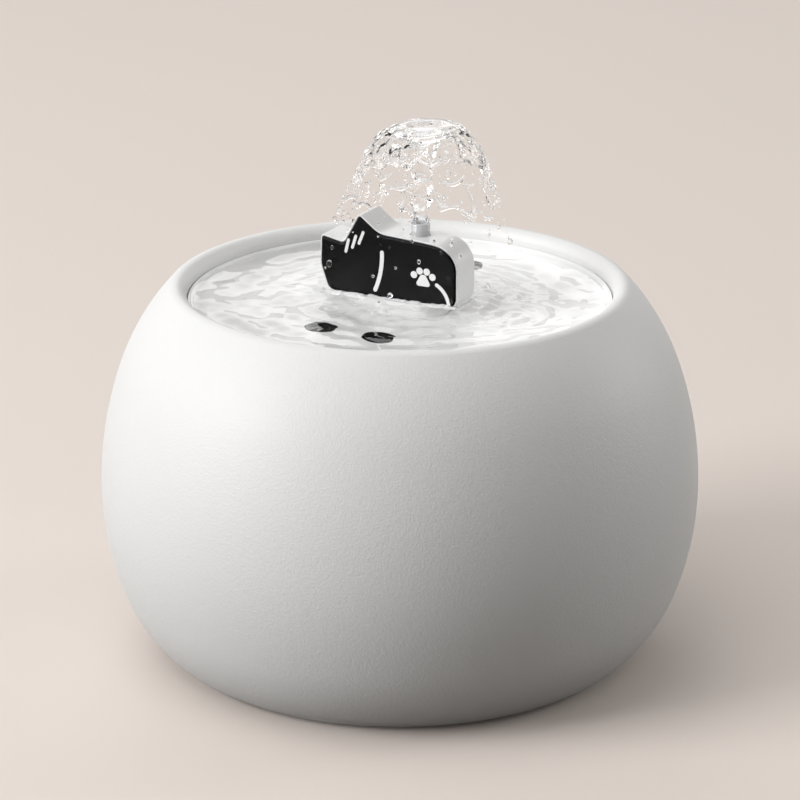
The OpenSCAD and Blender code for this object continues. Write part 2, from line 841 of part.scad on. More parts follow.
// Ring under the tray that holds the filter basket by its bayonet lugs
module filter_holder() {
  holder_z = lug_z - gap - hook_t - skirt_low;
  color("white") {
    translate([0, 0, holder_z]) difference() {
      cylinder(r = skirt_r + skirt_wall, h = tray_under - holder_z);
      translate([0, 0, -over]) cylinder(r = skirt_r, h = basket_depth + 2 * over + tray_floor);
    }
    // bayonet hooks and the stop at the end of each
    for (a = [0:120:240]) rotate(a + bayonet_start - hook_angle / 2) {
      rotate_extrude(angle = hook_angle)
        translate([basket_r + gap, lug_z - gap - hook_t]) square([skirt_r - basket_r, hook_t]);
      rotate_extrude(angle = stop_angle)
        translate([basket_r + gap, lug_z - gap - hook_t]) square([skirt_r - basket_r, hook_t + lug_t]);
    }
  }
}

module tray_seal() {
  color("lightgray")
  translate([0, 0, ledge_z + fit / 2]) difference() {
    cylinder(r = tray_r - 2 * gap, h = seal_t);
    translate([0, 0, -over]) cylinder(r = tank_r + gap, h = seal_t + 2 * over);
  }
}

module riser_seal() {
  color("dimgray")
  at_outlet() translate([0, 0, ring_z + shaft_fit]) difference() {
    cylinder(r = boss_bore + ring_sink - shaft_fit, h = ring_t - 2 * shaft_fit);
    translate([0, 0, -over]) cylinder(r = riser_r + fit, h = ring_t + 2 * over);
  }
}

// ================================================================ filter

slot_count = 12;
slot_w = 3;
slot_in = 5;
slot_out = 7;

module filter_basket() {
  color("white")
  difference() {
    union() {
      translate([0, 0, basket_z]) difference() {
        cylinder(r = basket_r, h = basket_depth);
        translate([0, 0, basket_wall]) cylinder(r = basket_r - basket_wall, h = basket_depth);
      }
      translate([0, 0, basket_z]) cylinder(r = basket_bore + basket_wall, h = basket_depth);
      for (a = [0:120:240]) rotate(a + bayonet_start - lug_angle / 2) rotate_extrude(angle = lug_angle)
        translate([basket_r - fit, lug_z]) square([lug_out + gap + fit, lug_t]);
    }
    translate([0, 0, basket_z - over]) cylinder(r = basket_bore, h = basket_depth + 2 * over);
    for (k = [0:slot_count - 1]) rotate(k * 360 / slot_count)
      translate([basket_bore + slot_in, -slot_w / 2, basket_z - over])
        cube([basket_r - basket_bore - slot_in - slot_out, slot_w, basket_wall + 2 * over]);
  }
}

pad_t = 2.2;
media_gap = 0.2;
sponge_z = basket_z + basket_wall + media_gap;
frame_z = sponge_z + sponge_t + media_gap;
frame_wall = 1.2;
frame_floor = 1;
frame_room = 0.6;
frame_h = basket_top - frame_z - frame_room;
rib_count = 6;
rib_w = 3;
media_out = basket_r - basket_wall - gap;
media_in = basket_bore + basket_wall + gap;
pad_z = frame_z + frame_floor + media_gap;
carbon_z = pad_z + pad_t + media_gap;
carbon_t = frame_h - frame_floor - pad_t - 3 * media_gap;

module washer(r_in, r_out, z, t) {
  translate([0, 0, z]) difference() {
    cylinder(r = r_out, h = t);
    translate([0, 0, -over]) cylinder(r = r_in, h = t + 2 * over);
  }
}

module filter_sponge() {
  color([0.3, 0.33, 0.38]) washer(media_in, media_out, sponge_z, sponge_t);
}

module cartridge_frame() {
  color("white") {
    washer(media_out - frame_wall, media_out, frame_z, frame_h);
    washer(media_in, media_in + frame_wall, frame_z, frame_h);
    for (k = [0:rib_count - 1]) rotate(k * 360 / rib_count)
      translate([media_in + frame_wall / 2, -rib_w / 2, frame_z])
        cube([media_out - media_in - frame_wall, rib_w, frame_floor]);
  }
}

module carbon_bed() {
  color([0.08, 0.08, 0.08])
  washer(media_in + frame_wall + media_gap, media_out - frame_wall - media_gap, carbon_z, carbon_t);
}

module cotton_pad() {
  color("snow")
  washer(media_in + frame_wall + media_gap, media_out - frame_wall - media_gap, pad_z, pad_t);
}

// ================================================================ cat cover

belly_z = pool_z + cat_lift;
plate_y = -cat_thick / 2 + plate_sink - plate_t;
pedestal_half = boss_r + gap + cat_wall;
pedestal_x0 = -18;
pedestal_x1 = 20;

// Corners of the cat's side view as [x, height over the belly, rounding],
// from the front foot up over the ears and the back to the rear foot
back_corner = [12, 23, 30];
cat_corners = [
  [-24.6, 0, 4], [-28, 9.5, 9], [-27.6, 20.6, 1.4], [-18.6, 18.9, 1.6], [-12.6, 29.8, 1.4],
  [-4.4, 23.8, 8], back_corner, [25.6, 21.8, 9.5], [25.6, 0, 4.5]];

// Smallest rounding of a corner that is set in
least_round = 0.3;

function unit(v) = v / norm(v);
function flat(p) = [p[0], p[1]];
function turn_of(a, b, c) = (b[0] - a[0]) * (c[1] - b[1]) - (b[1] - a[1]) * (c[0] - b[0]);

// Points of one rounded corner b between a and c, set in by inset
function corner_arc(a, b, c, r, inset) =
  let (u = unit(a - b), v = unit(c - b), half = acos(u * v) / 2, out = turn_of(a, b, c) < 0 ? 1 : -1,
    mid = unit(u + v), tip = b + out * mid * inset / sin(half), rr = max(r - out * inset, least_round),
    centre = tip + mid * rr / sin(half), side = sign(turn_of(a, b, c)), sweep = 180 - 2 * half,
    start = tip + u * rr / tan(half) - centre, a0 = atan2(start[1], start[0]),
    n = max(2, ceil(sweep / (2 * arc_step))))
  [for (k = [0:n]) centre + rr * dir(a0 + side * sweep * k / n)];

// Outline through rounded corners, listed clockwise
function rounded(list, inset = 0) =
  let (n = len(list))
  [for (i = [0:n - 1], p = corner_arc(flat(list[(i + n - 1) % n]), flat(list[i]),
    flat(list[(i + 1) % n]), list[i][2], inset)) p];

// Turns an outline drawn in x and z into a slab from y0 to y1
module slab(y0, y1) {
  translate([0, y1, belly_z]) rotate([90, 0, 0]) linear_extrude(y1 - y0) children();
}

module pedestal_outline(inset) {
  r = pedestal_half - inset;
  translate([pedestal_x0 + pedestal_half, -r])
    square([pedestal_x1 - pedestal_x0 - 2 * pedestal_half, 2 * r]);
  for (x = [pedestal_x0 + pedestal_half, pedestal_x1 - pedestal_half]) translate([x, 0]) circle(r = r);
}

pedestal_lap = 0.8;
pedestal_top = belly_z + pedestal_lap;
pedestal_roof = 1;

module cat_shell() {
  half = cat_thick / 2;
  color("white")
  difference() {
    union() {
      slab(-half, half) polygon(rounded(cat_corners));
      translate([0, 0, pool_z + gap]) linear_extrude(pedestal_top - pool_z - gap) pedestal_outline(0);
    }
    slab(-half + cat_wall, half - cat_wall) polygon(rounded(cat_corners, cat_wall));
    translate([0, 0, pool_z - over]) linear_extrude(belly_z - pool_z + over - pedestal_roof)
      pedestal_outline(cat_wall);
    translate([pedestal_x0 + pedestal_half, -half + cat_wall, pool_z])
      cube([outlet_x + boss_bore - pedestal_x0 - pedestal_half, cat_thick - 2 * cat_wall,
        belly_z - pool_z + 2 * cat_wall]);
    slab(-half - over, -half + plate_sink) polygon(rounded(cat_corners, plate_edge - fit));
    at_outlet() translate([0, 0, belly_z]) cylinder(r = nozzle_r + fit, h = back_z - belly_z + over);
  }
}

module cat_plate() {
  color([0.03, 0.03, 0.03])
  slab(plate_y, plate_y + plate_t) polygon(rounded(cat_corners, plate_edge));
}

// ---- print on the plate: tabby marks on the brow, a collar, a paw mark and a tail ----
brow_marks = 3;
brow_start = [-17.2, 15.6];
brow_step = [2.6, 1.8];
brow_lean = 14;
brow_lean_step = 4;
brow_l = 4.4;
brow_w = 1.1;
collar_centre = [-34, 16];
collar_r = 31;
collar_ends = [-24, 2];
collar_w = 1.5;
tail_centre = [14, 0.5];
tail_r = 9;
tail_ends = [8, 62];
tail_w = 1.3;
paw_at = [13, 9.5];
paw_pad = [[-3.2, -2.2, 0.9], [-0.9, 1.9, 1.2], [0.9, 1.9, 1.2], [3.2, -2.2, 0.9]];
paw_toe_r = 1.25;
paw_toe_ring = 4.4;
paw_spread = 36;
paw_drop = 1.1;
cap_step = 30;
stroke_steps = 12;

// Half circle that closes the end of a stroke
function cap(centre, r, a0) = [for (a = [a0:cap_step:a0 + 180]) centre + r * dir(a)];

// Straight stroke with round ends
function stroke(a, b, w) =
  let (d = b - a, lean = atan2(d[1], d[0]))
  concat(cap(a, w / 2, lean + 90), cap(b, w / 2, lean - 90));

// Curved stroke with round ends, between the two angles in ends
function arc_stroke(centre, r, ends, w) =
  let (angles = [for (k = [1:stroke_steps - 1]) ends[0] + (ends[1] - ends[0]) * k / stroke_steps])
  concat(cap(centre + r * dir(ends[1]), w / 2, ends[1]),
    [for (a = reversed(angles)) centre + (r - w / 2) * dir(a)],
    cap(centre + r * dir(ends[0]), w / 2, ends[0] + 180),
    [for (a = angles) centre + (r + w / 2) * dir(a)]);

module print_outline() {
  for (k = [0:brow_marks - 1]) {
    foot = brow_start + k * brow_step;
    polygon(stroke(foot, foot + brow_l * dir(90 - brow_lean - brow_lean_step * k), brow_w));
  }
  polygon(arc_stroke(collar_centre, collar_r, collar_ends, collar_w));
  polygon(arc_stroke(tail_centre, tail_r, tail_ends, tail_w));
  translate(paw_at) {
    polygon(rounded(paw_pad));
    for (k = [-1.5:1.5]) translate(paw_toe_ring * dir(90 + k * paw_spread) - [0, paw_drop])
      circle(r = paw_toe_r);
  }
}

module plate_print() {
  color("white") slab(plate_y - print_t, plate_y) print_outline();
}

// ================================================================ outlet and water

back_z = belly_z + back_corner[1];
// The back slopes down this far from its corner to the outlet
back_slope = 0.4;
nozzle_top = back_z + nozzle_out - back_slope;
nozzle_flange_t = 2;
nozzle_room = 0.6;
nozzle_flange_z = back_z - cat_wall - nozzle_flange_t - nozzle_room;
riser_top = nozzle_flange_z - 2 * gap;
spigot_dip = 7;
nozzle_chamfer = 1;
nozzle_taper = 0.5;

module outlet_nozzle() {
  color([0.72, 0.75, 0.78, 0.8])
  at_outlet() difference() {
    union() {
      translate([0, 0, riser_top - spigot_dip])
        cylinder(r = riser_bore - fit, h = nozzle_flange_z - riser_top + spigot_dip + fit);
      translate([0, 0, nozzle_flange_z]) cylinder(r = riser_r, h = nozzle_flange_t);
      translate([0, 0, nozzle_flange_z])
        cylinder(r = nozzle_r, h = nozzle_top - nozzle_chamfer - nozzle_flange_z);
      translate([0, 0, nozzle_top - nozzle_chamfer])
        cylinder(r1 = nozzle_r, r2 = nozzle_r - nozzle_taper, h = nozzle_chamfer);
    }
    translate([0, 0, riser_top - spigot_dip - over])
      cylinder(r = nozzle_bore, h = nozzle_top - riser_top + spigot_dip + 2 * over);
  }
}

film = 1.6;
film_thin = 0.8;
column_r = 2.4;
column_spread = 1;
column_foot = 4;
column_head = 12;
column_lift = 0.2;
crown_r = 8;
crown_dip = 2.6;
crown_steps = 6;
bell_drop = 20.8;
bell_steps = 10;
crown_under = 3;

// Height of the bell's outside over the nozzle at radius r
function crown_z(r) = jet_height - crown_dip * pow(cos(min(r / crown_r, 1) * 90), 2);
function bell_z(r) = jet_height - bell_drop * pow((r - crown_r) / (bell_r - crown_r), 2);
function bell_outside() = concat(
  [for (k = [0:crown_steps]) let (r = crown_r * k / crown_steps) [r, crown_z(r)]],
  [for (k = [1:bell_steps]) let (r = crown_r + (bell_r - crown_r) * k / bell_steps) [r, bell_z(r)]]);

module water_jet() {
  outside = bell_outside();
  inside = [for (p = reversed(outside)) if (p[0] > column_r + crown_under)
    [p[0] - film * film_thin * p[0] / bell_r, p[1] - film]];
  color([0.8, 0.88, 0.93, 0.5])
  at_outlet() translate([0, 0, nozzle_top]) rotate_extrude() polygon(concat(
    outside, inside,
    [[column_r + column_spread, jet_height - crown_dip - film - crown_under],
      [column_r, jet_height - column_head], [column_r, column_foot],
      [nozzle_bore, column_lift], [0, column_lift]]));
}

outer_shell();
base_plate();
base_screws();
rubber_feet();
water_tank();
tank_gasket();
power_socket();
socket_nut();
socket_pin();
lead_gland();
pump_lead();
pump_housing();
pump_rear_cover();
driver_board();
stator_core();
stator_coil();
impeller_cover();
front_bush();
rear_bush();
pump_shaft();
suction_cups();
riser_tube();
impeller();
rotor_magnet();
pump_front_cover();
intake_sponge();
flow_regulator();
drinking_tray();
filter_holder();
tray_seal();
riser_seal();
filter_basket();
filter_sponge();
cartridge_frame();
carbon_bed();
cotton_pad();
cat_shell();
cat_plate();
plate_print();
outlet_nozzle();
water_jet();
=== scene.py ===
"""Pet water fountain: the finish of every surface, the water in the pool and the water bell.

Sizes are in metres, in the frame of the packed part: +Z up, the floor at z = 0 under the bowl's
middle, the cat's flat face towards -Y and the power socket at +Y.
"""

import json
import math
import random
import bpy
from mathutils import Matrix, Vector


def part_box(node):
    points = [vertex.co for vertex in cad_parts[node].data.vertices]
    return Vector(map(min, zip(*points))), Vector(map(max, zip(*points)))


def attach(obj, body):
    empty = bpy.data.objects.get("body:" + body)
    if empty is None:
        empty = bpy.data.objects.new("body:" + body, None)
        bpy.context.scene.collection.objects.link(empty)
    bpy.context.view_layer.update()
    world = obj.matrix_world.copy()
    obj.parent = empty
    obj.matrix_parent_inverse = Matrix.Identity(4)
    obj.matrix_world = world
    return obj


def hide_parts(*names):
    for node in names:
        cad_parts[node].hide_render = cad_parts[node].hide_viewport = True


bl_info = {
    "name": "Pet water fountain",
    "version": (1, 0, 0),
    "blender": (4, 5, 0),
    "location": "3D View > Sidebar > Fountain",
    "description": "Builds the shells, the water and the finishes of a pet water fountain",
    "category": "Object",
}

import bpy
from bpy.props import FloatProperty, FloatVectorProperty, IntProperty, PointerProperty
from mathutils import Vector, noise

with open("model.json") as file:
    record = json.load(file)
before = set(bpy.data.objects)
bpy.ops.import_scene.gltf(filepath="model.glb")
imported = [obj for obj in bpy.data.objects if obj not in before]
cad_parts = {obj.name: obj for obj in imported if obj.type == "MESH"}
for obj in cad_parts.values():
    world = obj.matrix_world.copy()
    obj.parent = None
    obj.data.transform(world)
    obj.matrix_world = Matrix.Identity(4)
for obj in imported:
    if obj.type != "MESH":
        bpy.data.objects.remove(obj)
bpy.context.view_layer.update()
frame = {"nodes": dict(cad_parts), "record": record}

MM = 0.001
GAP = 0.3 * MM

# Heights and places that the packed part already holds
RIM_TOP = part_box("outer_shell")[1].z
TRAY_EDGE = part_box("drinking_tray")[1].z
POOL_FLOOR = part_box("cat_shell")[0].z - GAP
TRAY_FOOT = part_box("drinking_tray")[0].z
PLATE_LOW, PLATE_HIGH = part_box("cat_plate")
NOZZLE_LOW, NOZZLE_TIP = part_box("outlet_nozzle")
OUTLET_X = (NOZZLE_LOW.x + NOZZLE_TIP.x) / 2
JET_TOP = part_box("water_jet")[1].z
FOOT_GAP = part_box("base_plate")[0].z
SOCKET_LOW, SOCKET_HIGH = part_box("power_socket")
SOCKET_Z = (SOCKET_LOW.z + SOCKET_HIGH.z) / 2

# The tray's boss, which the cat's pedestal goes over, and the riser's bore through it
BOSS_R = 7.4 * MM
BOSS_HEIGHT = 5.8 * MM
BORE_R = 4.7 * MM

WATER_IOR = 1.333


# ---------------------------------------------------------------- sizes and colours


class BowlSizes(bpy.types.PropertyGroup):
    """Sizes of the outer shell"""

    width: FloatProperty(
        name="Width", description="Largest width of the bowl", default=0.210, unit="LENGTH"
    )
    wall: FloatProperty(
        name="Wall", description="Thickness of the outer shell", default=0.003, unit="LENGTH"
    )
    collar: FloatProperty(
        name="Collar", description="Height of the collar in the mouth", default=0.012, unit="LENGTH"
    )
    rim_round: FloatProperty(
        name="Rim", description="Radius of the rolled rim", default=0.0036, unit="LENGTH"
    )
    pocket: FloatProperty(
        name="Pocket", description="Radius of the socket's pocket", default=0.008, unit="LENGTH"
    )
    colour: FloatVectorProperty(
        name="Colour",
        description="Colour of the matt shell",
        default=(0.83, 0.83, 0.825),
        subtype="COLOR",
        min=0,
        max=1,
    )


class TraySizes(bpy.types.PropertyGroup):
    """Sizes of the drinking tray and its pool"""

    radius: FloatProperty(
        name="Radius", description="Outer radius of the tray", default=0.07366, unit="LENGTH"
    )
    wall: FloatProperty(
        name="Wall", description="Thickness of the tray's wall", default=0.0018, unit="LENGTH"
    )
    floor: FloatProperty(
        name="Floor", description="Thickness of the tray's floor", default=0.0022, unit="LENGTH"
    )
    fillet: FloatProperty(
        name="Fillet", description="Radius between floor and wall", default=0.006, unit="LENGTH"
    )
    drain: FloatProperty(
        name="Drain", description="Radius of a drain hole", default=0.0055, unit="LENGTH"
    )
    water_drop: FloatProperty(
        name="Water drop",
        description="Depth of the calm water's level below the tray's edge",
        default=0.0005,
        unit="LENGTH",
    )
    ripple: FloatProperty(
        name="Ripple", description="Height of the largest waves", default=0.00055, unit="LENGTH"
    )


class CatSizes(bpy.types.PropertyGroup):
    """Sizes of the cat-shaped cover"""

    thickness: FloatProperty(
        name="Thickness", description="Cat from front to back", default=0.0134, unit="LENGTH"
    )
    wall: FloatProperty(
        name="Wall", description="Thickness of the cover's wall", default=0.0018, unit="LENGTH"
    )
    plate_edge: FloatProperty(
        name="White edge", description="White edge round the plate", default=0.0008, unit="LENGTH"
    )
    shell_round: FloatProperty(
        name="Shell edge", description="Rounding of the shell's edges", default=0.0007, unit="LENGTH"
    )
    plate_round: FloatProperty(
        name="Plate edge", description="Rounding of the plate's edge", default=0.0006, unit="LENGTH"
    )
    white: FloatVectorProperty(
        name="White",
        description="Colour of the satin shell",
        default=(0.80, 0.80, 0.80),
        subtype="COLOR",
        min=0,
        max=1,
    )
    black: FloatVectorProperty(
        name="Black",
        description="Colour of the gloss plate",
        default=(0.0045, 0.0045, 0.005),
        subtype="COLOR",
        min=0,
        max=1,
    )


class BellSizes(bpy.types.PropertyGroup):
    """Sizes of the water bell"""

    film: FloatProperty(
        name="Film", description="Thickness of the film", default=0.0011, unit="LENGTH"
    )
    lean: FloatProperty(
        name="Lean", description="Sideways lean of the crown", default=0.0016, unit="LENGTH"
    )
    voxel: FloatProperty(
        name="Detail", description="Finest detail of the bell", default=0.00036, unit="LENGTH"
    )
    drops: IntProperty(name="Drops", description="Number of loose drops", default=120, min=0)


class StageSizes(bpy.types.PropertyGroup):
    """Camera, lamps and floor"""

    distance: FloatProperty(
        name="Distance", description="Camera to the bowl's axis, level", default=1.1930, unit="LENGTH"
    )
    height: FloatProperty(
        name="Height", description="Camera over the floor", default=0.5022, unit="LENGTH"
    )
    azimuth: FloatProperty(
        name="Azimuth",
        description="Camera's turn round the bowl",
        default=math.radians(28),
        subtype="ANGLE",
    )
    pitch: FloatProperty(
        name="Pitch",
        description="Camera's tilt below the horizon",
        default=math.radians(19.04),
        subtype="ANGLE",
    )
    lens: FloatProperty(name="Lens", description="Focal length", default=162.0, unit="CAMERA")
    floor: FloatVectorProperty(
        name="Floor",
        description="Colour of the floor",
        default=(0.84, 0.76, 0.705),
        subtype="COLOR",
        min=0,
        max=1,
    )
    backdrop: FloatVectorProperty(
        name="Backdrop",
        description="Colour of the backdrop behind the floor",
        default=(0.74, 0.675, 0.625),
        subtype="COLOR",
        min=0,
        max=1,
    )


SIZE_GROUPS = {
    "fountain_bowl": BowlSizes,
    "fountain_tray": TraySizes,
    "fountain_cat": CatSizes,
    "fountain_bell": BellSizes,
    "fountain_stage": StageSizes,
}


# ---------------------------------------------------------------- modelling by hand


def to_object_mode():
    """Leaves edit mode and deselects everything"""
    if bpy.context.object and bpy.context.object.mode != "OBJECT":
        bpy.ops.object.mode_set(mode="OBJECT")
    bpy.ops.object.select_all(action="DESELECT")


def pick(piece):
    """Makes one object the only selected and the active one"""
    to_object_mode()
    piece.select_set(True)
    bpy.context.view_layer.objects.active = piece


def settle(piece):
    """Puts a piece's place into its mesh"""
    pick(piece)
    bpy.ops.object.transform_apply(location=True, rotation=True, scale=True)


def finish_surface(piece, angle=32):
    """Merges doubles, points the faces outwards and smooths what isn't an edge"""
    pick(piece)
    bpy.ops.object.mode_set(mode="EDIT")
    bpy.ops.mesh.select_all(action="SELECT")
    bpy.ops.mesh.remove_doubles(threshold=2e-6)
    bpy.ops.mesh.normals_make_consistent(inside=False)
    bpy.ops.object.mode_set(mode="OBJECT")
    bpy.ops.object.shade_smooth_by_angle(angle=math.radians(angle))


def apply_modifier(piece, kind, **settings):
    """Adds a modifier, sets it up and applies it"""
    pick(piece)
    modifier = piece.modifiers.new(kind.lower(), kind)
    for key, value in settings.items():
        setattr(modifier, key, value)
    bpy.ops.object.modifier_apply(modifier=modifier.name)


def round_edges(piece, width, segments):
    """Rounds the sharp edges of a piece"""
    sharp = {"limit_method": "ANGLE", "angle_limit": math.radians(60)}
    apply_modifier(piece, "BEVEL", width=width, segments=segments, **sharp)


def combine(piece, tool, operation="DIFFERENCE"):
    """Cuts, adds or intersects a piece with another, which is used up"""
    apply_modifier(piece, "BOOLEAN", object=tool, operation=operation, solver="EXACT")
    if not piece.data.polygons:
        raise RuntimeError(f"nothing is left of {piece.name} after {tool.name}")
    bpy.data.objects.remove(tool)


def lathe(name, outline, centre=(0.0, 0.0), steps=160, closed=True):
    """Turns an outline of (radius, height) points round an upright axis"""
    to_object_mode()
    bpy.ops.mesh.primitive_plane_add(size=MM)
    piece = bpy.context.object
    piece.name = piece.data.name = name
    bpy.ops.object.mode_set(mode="EDIT")
    bpy.ops.mesh.merge(type="CENTER")
    points = [Vector((centre[0] + r, centre[1], z)) for r, z in outline]
    bpy.ops.transform.translate(value=points[0])
    stops = points[1:] + ([points[0]] if closed else [])
    last = points[0]
    for point in stops:
        bpy.ops.mesh.extrude_vertices_move(TRANSFORM_OT_translate={"value": point - last})
        last = point
    bpy.ops.mesh.select_all(action="SELECT")
    bpy.ops.mesh.spin(
        steps=steps, angle=math.tau, center=(centre[0], centre[1], 0.0), axis=(0.0, 0.0, 1.0)
    )
    bpy.ops.object.mode_set(mode="OBJECT")
    finish_surface(piece)
    return piece


def rod(name, radius, low, high, axis="Z", sides=64):
    """Plain round rod along Z or Y, used as a cutting tool or a core, from one end to the other"""
    to_object_mode()
    bpy.ops.mesh.primitive_cylinder_add(
        vertices=sides,
        radius=radius,
        depth=(Vector(high) - Vector(low)).length,
        location=(Vector(low) + Vector(high)) / 2,
        rotation=(math.pi / 2, 0, 0) if axis == "Y" else (0, 0, 0),
    )
    piece = bpy.context.object
    piece.name = piece.data.name = name
    settle(piece)
    return piece


def prism(name, corners, along):
    """Extrudes a flat face, given by its corners, along a vector"""
    to_object_mode()
    bpy.ops.mesh.primitive_circle_add(vertices=len(corners), radius=MM, fill_type="NGON")
    piece = bpy.context.object
    piece.name = piece.data.name = name
    for vertex, corner in zip(piece.data.vertices, corners):
        vertex.co = corner
    bpy.ops.object.mode_set(mode="EDIT")
    bpy.ops.mesh.select_all(action="SELECT")
    bpy.ops.mesh.extrude_region_move(TRANSFORM_OT_translate={"value": along})
    bpy.ops.object.mode_set(mode="OBJECT")
    finish_surface(piece)
    return piece


def slab(name, outline, near, far):
    """Extrudes an outline of (x, z) points along y"""
    return prism(name, [(x, near, z) for x, z in outline], (0, far - near, 0))


def stadium(name, x0, x1, radius, low, high):
    """Upright block with round ends, between two heights"""
    steps = 24
    corners = []
    for middle, start in ((x1 - radius, -90), (x0 + radius, 90)):
        for k in range(steps + 1):
            a = math.radians(start + 180 * k / steps)
            corners.append((middle + radius * math.cos(a), radius * math.sin(a), low))
    return prism(name, corners, (0, 0, high - low))


def direction(degrees):
    """Unit vector in an outline's plane"""
    return Vector((math.cos(math.radians(degrees)), math.sin(math.radians(degrees))))


def polar(radius, turn, height=0.0, middle=0.0):
    """Point round an upright axis that stands at x = middle"""
    return Vector((middle + radius * math.cos(turn), radius * math.sin(turn), height))


def within(value, low=0.0, high=1.0):
    """A value kept between two bounds"""
    return min(high, max(low, value))


def dress(piece, body, slot, material, *nodes):
    """Gives a finished piece its material and its body, and hides the nodes that it stands for"""
    piece.data.materials.clear()
    piece.data.materials.append(material)
    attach(piece, body)
    if nodes:
        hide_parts(*nodes)
    return piece


# ---------------------------------------------------------------- shader groups


def feed(tree, node, inputs):
    """Gives each named input of a node its value or the socket that feeds it"""
    for key, value in inputs.items():
        if isinstance(value, bpy.types.NodeSocket):
            tree.links.new(value, node.inputs[key])
        else:
            node.inputs[key].default_value = value


def add_node(tree, kind, inputs=None, **settings):
    """New shader node with its settings and what its inputs are given"""
    node = tree.nodes.new("ShaderNode" + kind)
    for key, value in settings.items():
        setattr(node, key, value)
    feed(tree, node, inputs or {})
    return node


def fold(tree, operation, first, *others):
    """Runs a maths node over two or more values"""
    for other in others:
        first = add_node(tree, "Math", {0: first, 1: other}, operation=operation).outputs["Value"]
    return first


def blend_shaders(tree, mask, first, second):
    """Mixes two shaders by a mask"""
    return add_node(tree, "MixShader", {"Fac": mask, 1: first, 2: second}).outputs["Shader"]


def new_group(name, scales, results):
    """Shader node group that works out results from a place and some scales"""
    tree = bpy.data.node_groups.new(name, "ShaderNodeTree")
    tree.interface.new_socket(name="Vector", in_out="INPUT", socket_type="NodeSocketVector")
    for label, value in scales.items():
        socket = tree.interface.new_socket(name=label, in_out="INPUT", socket_type="NodeSocketFloat")
        socket.default_value = value
    for label in results:
        tree.interface.new_socket(name=label, in_out="OUTPUT", socket_type="NodeSocketFloat")
    return tree, tree.nodes.new("NodeGroupInput").outputs, tree.nodes.new("NodeGroupOutput")


def build_grain(name):
    """Fine grain of a moulded face and slow mottling of its colour"""
    scales = {"Grain Scale": 900.0, "Mottle Scale": 40.0}
    tree, given, outlet = new_group(name, scales, ("Height", "Mottle"))
    place = given["Vector"]
    fine = {"Vector": place, "Scale": given["Grain Scale"], "Detail": 3.0, "Roughness": 0.62}
    slow = {"Vector": place, "Scale": given["Mottle Scale"], "Detail": 2.0}
    for result, inputs in (("Height", fine), ("Mottle", slow)):
        feed(tree, outlet, {result: add_node(tree, "TexNoise", inputs).outputs["Fac"]})
    return tree


def build_cells(name):
    """Open cells of foam or loose granules"""
    tree, given, outlet = new_group(name, {"Scale": 700.0}, ("Height", "Shade"))
    inputs = {"Vector": given["Vector"], "Scale": given["Scale"]}
    cells = add_node(tree, "TexVoronoi", inputs, feature="F1").outputs
    spread = {"Value": cells["Distance"], "From Min": 0.05, "From Max": 0.65}
    tone = add_node(tree, "SeparateColor", {"Color": cells["Color"]})
    feed(tree, outlet, {"Height": add_node(tree, "MapRange", spread).outputs["Result"]})
    feed(tree, outlet, {"Shade": tone.outputs["Red"]})
    return tree


def build_brushing(name):
    """Fine turned or drawn lines of machined metal"""
    tree, given, outlet = new_group(name, {"Scale": 600.0}, ("Height",))
    stretch = add_node(tree, "Mapping", {"Vector": given["Vector"], "Scale": (1.0, 1.0, 0.06)})
    inputs = {"Vector": stretch.outputs["Vector"], "Scale": given["Scale"], "Detail": 4.0}
    feed(tree, outlet, {"Height": add_node(tree, "TexNoise", inputs).outputs["Fac"]})
    return tree


GROUP_MAKERS = {
    "Moulded grain": build_grain,
    "Open cells": build_cells,
    "Fine brushing": build_brushing,
}


# ---------------------------------------------------------------- materials


def blank_material(name):
    """New material with its tree, its shader and an object-space coordinate node"""
    material = bpy.data.materials.new(name)
    material.use_nodes = True
    tree = material.node_tree
    return material, tree, tree.nodes["Principled BSDF"], add_node(tree, "TexCoord")


def add_group(tree, name, place, scales):
    """Places a shader group in a material, built the first time, fed with object coordinates"""
    group = bpy.data.node_groups.get(name) or GROUP_MAKERS[name](name)
    inputs = {"Vector": place.outputs["Object"], **scales}
    return add_node(tree, "Group", inputs, node_tree=group).outputs


def link_bump(tree, height, shader, distance):
    """Feeds a height into the shader's normal"""
    bump = add_node(tree, "Bump", {"Height": height, "Distance": distance})
    feed(tree, shader, {"Normal": bump.outputs["Normal"]})
    return bump


def link_tone(tree, mask, shader, dark, light):
    """Runs the base colour between two tones, or from a tone to a socket's colour, by a mask"""
    inputs = {"Factor": mask, "A": dark, "B": light}
    blend = add_node(tree, "Mix", inputs, data_type="RGBA")
    feed(tree, shader, {"Base Color": blend.outputs["Result"]})


def link_roughness(tree, mask, shader, low, high):
    """Runs the roughness between two values by a mask"""
    span = add_node(tree, "MapRange", {"Value": mask, "To Min": low, "To Max": high})
    feed(tree, shader, {"Roughness": span.outputs["Result"]})


def shade(colour, factor=1.0):
    """A colour made lighter or darker, with the opaque fourth value that sockets take"""
    return (*(min(1.0, c * factor) for c in colour), 1.0)


def moulded(name, colour, roughness, grain=900.0, depth=0.02 * MM, mottle=0.02, gloss=0.5):
    """Moulded plastic or rubber: fine grain, slow mottling and a slightly uneven gloss"""
    material, tree, shader, place = blank_material(name)
    grains = add_group(tree, "Moulded grain", place, {"Grain Scale": grain})
    dark, light = shade(colour, 1 - mottle), shade(colour, 1 + mottle)
    link_tone(tree, grains["Mottle"], shader, dark, light)
    link_roughness(tree, grains["Mottle"], shader, roughness * 0.88, roughness * 1.12)
    link_bump(tree, grains["Height"], shader, depth)
    feed(tree, shader, {"Specular IOR Level": gloss})
    return material


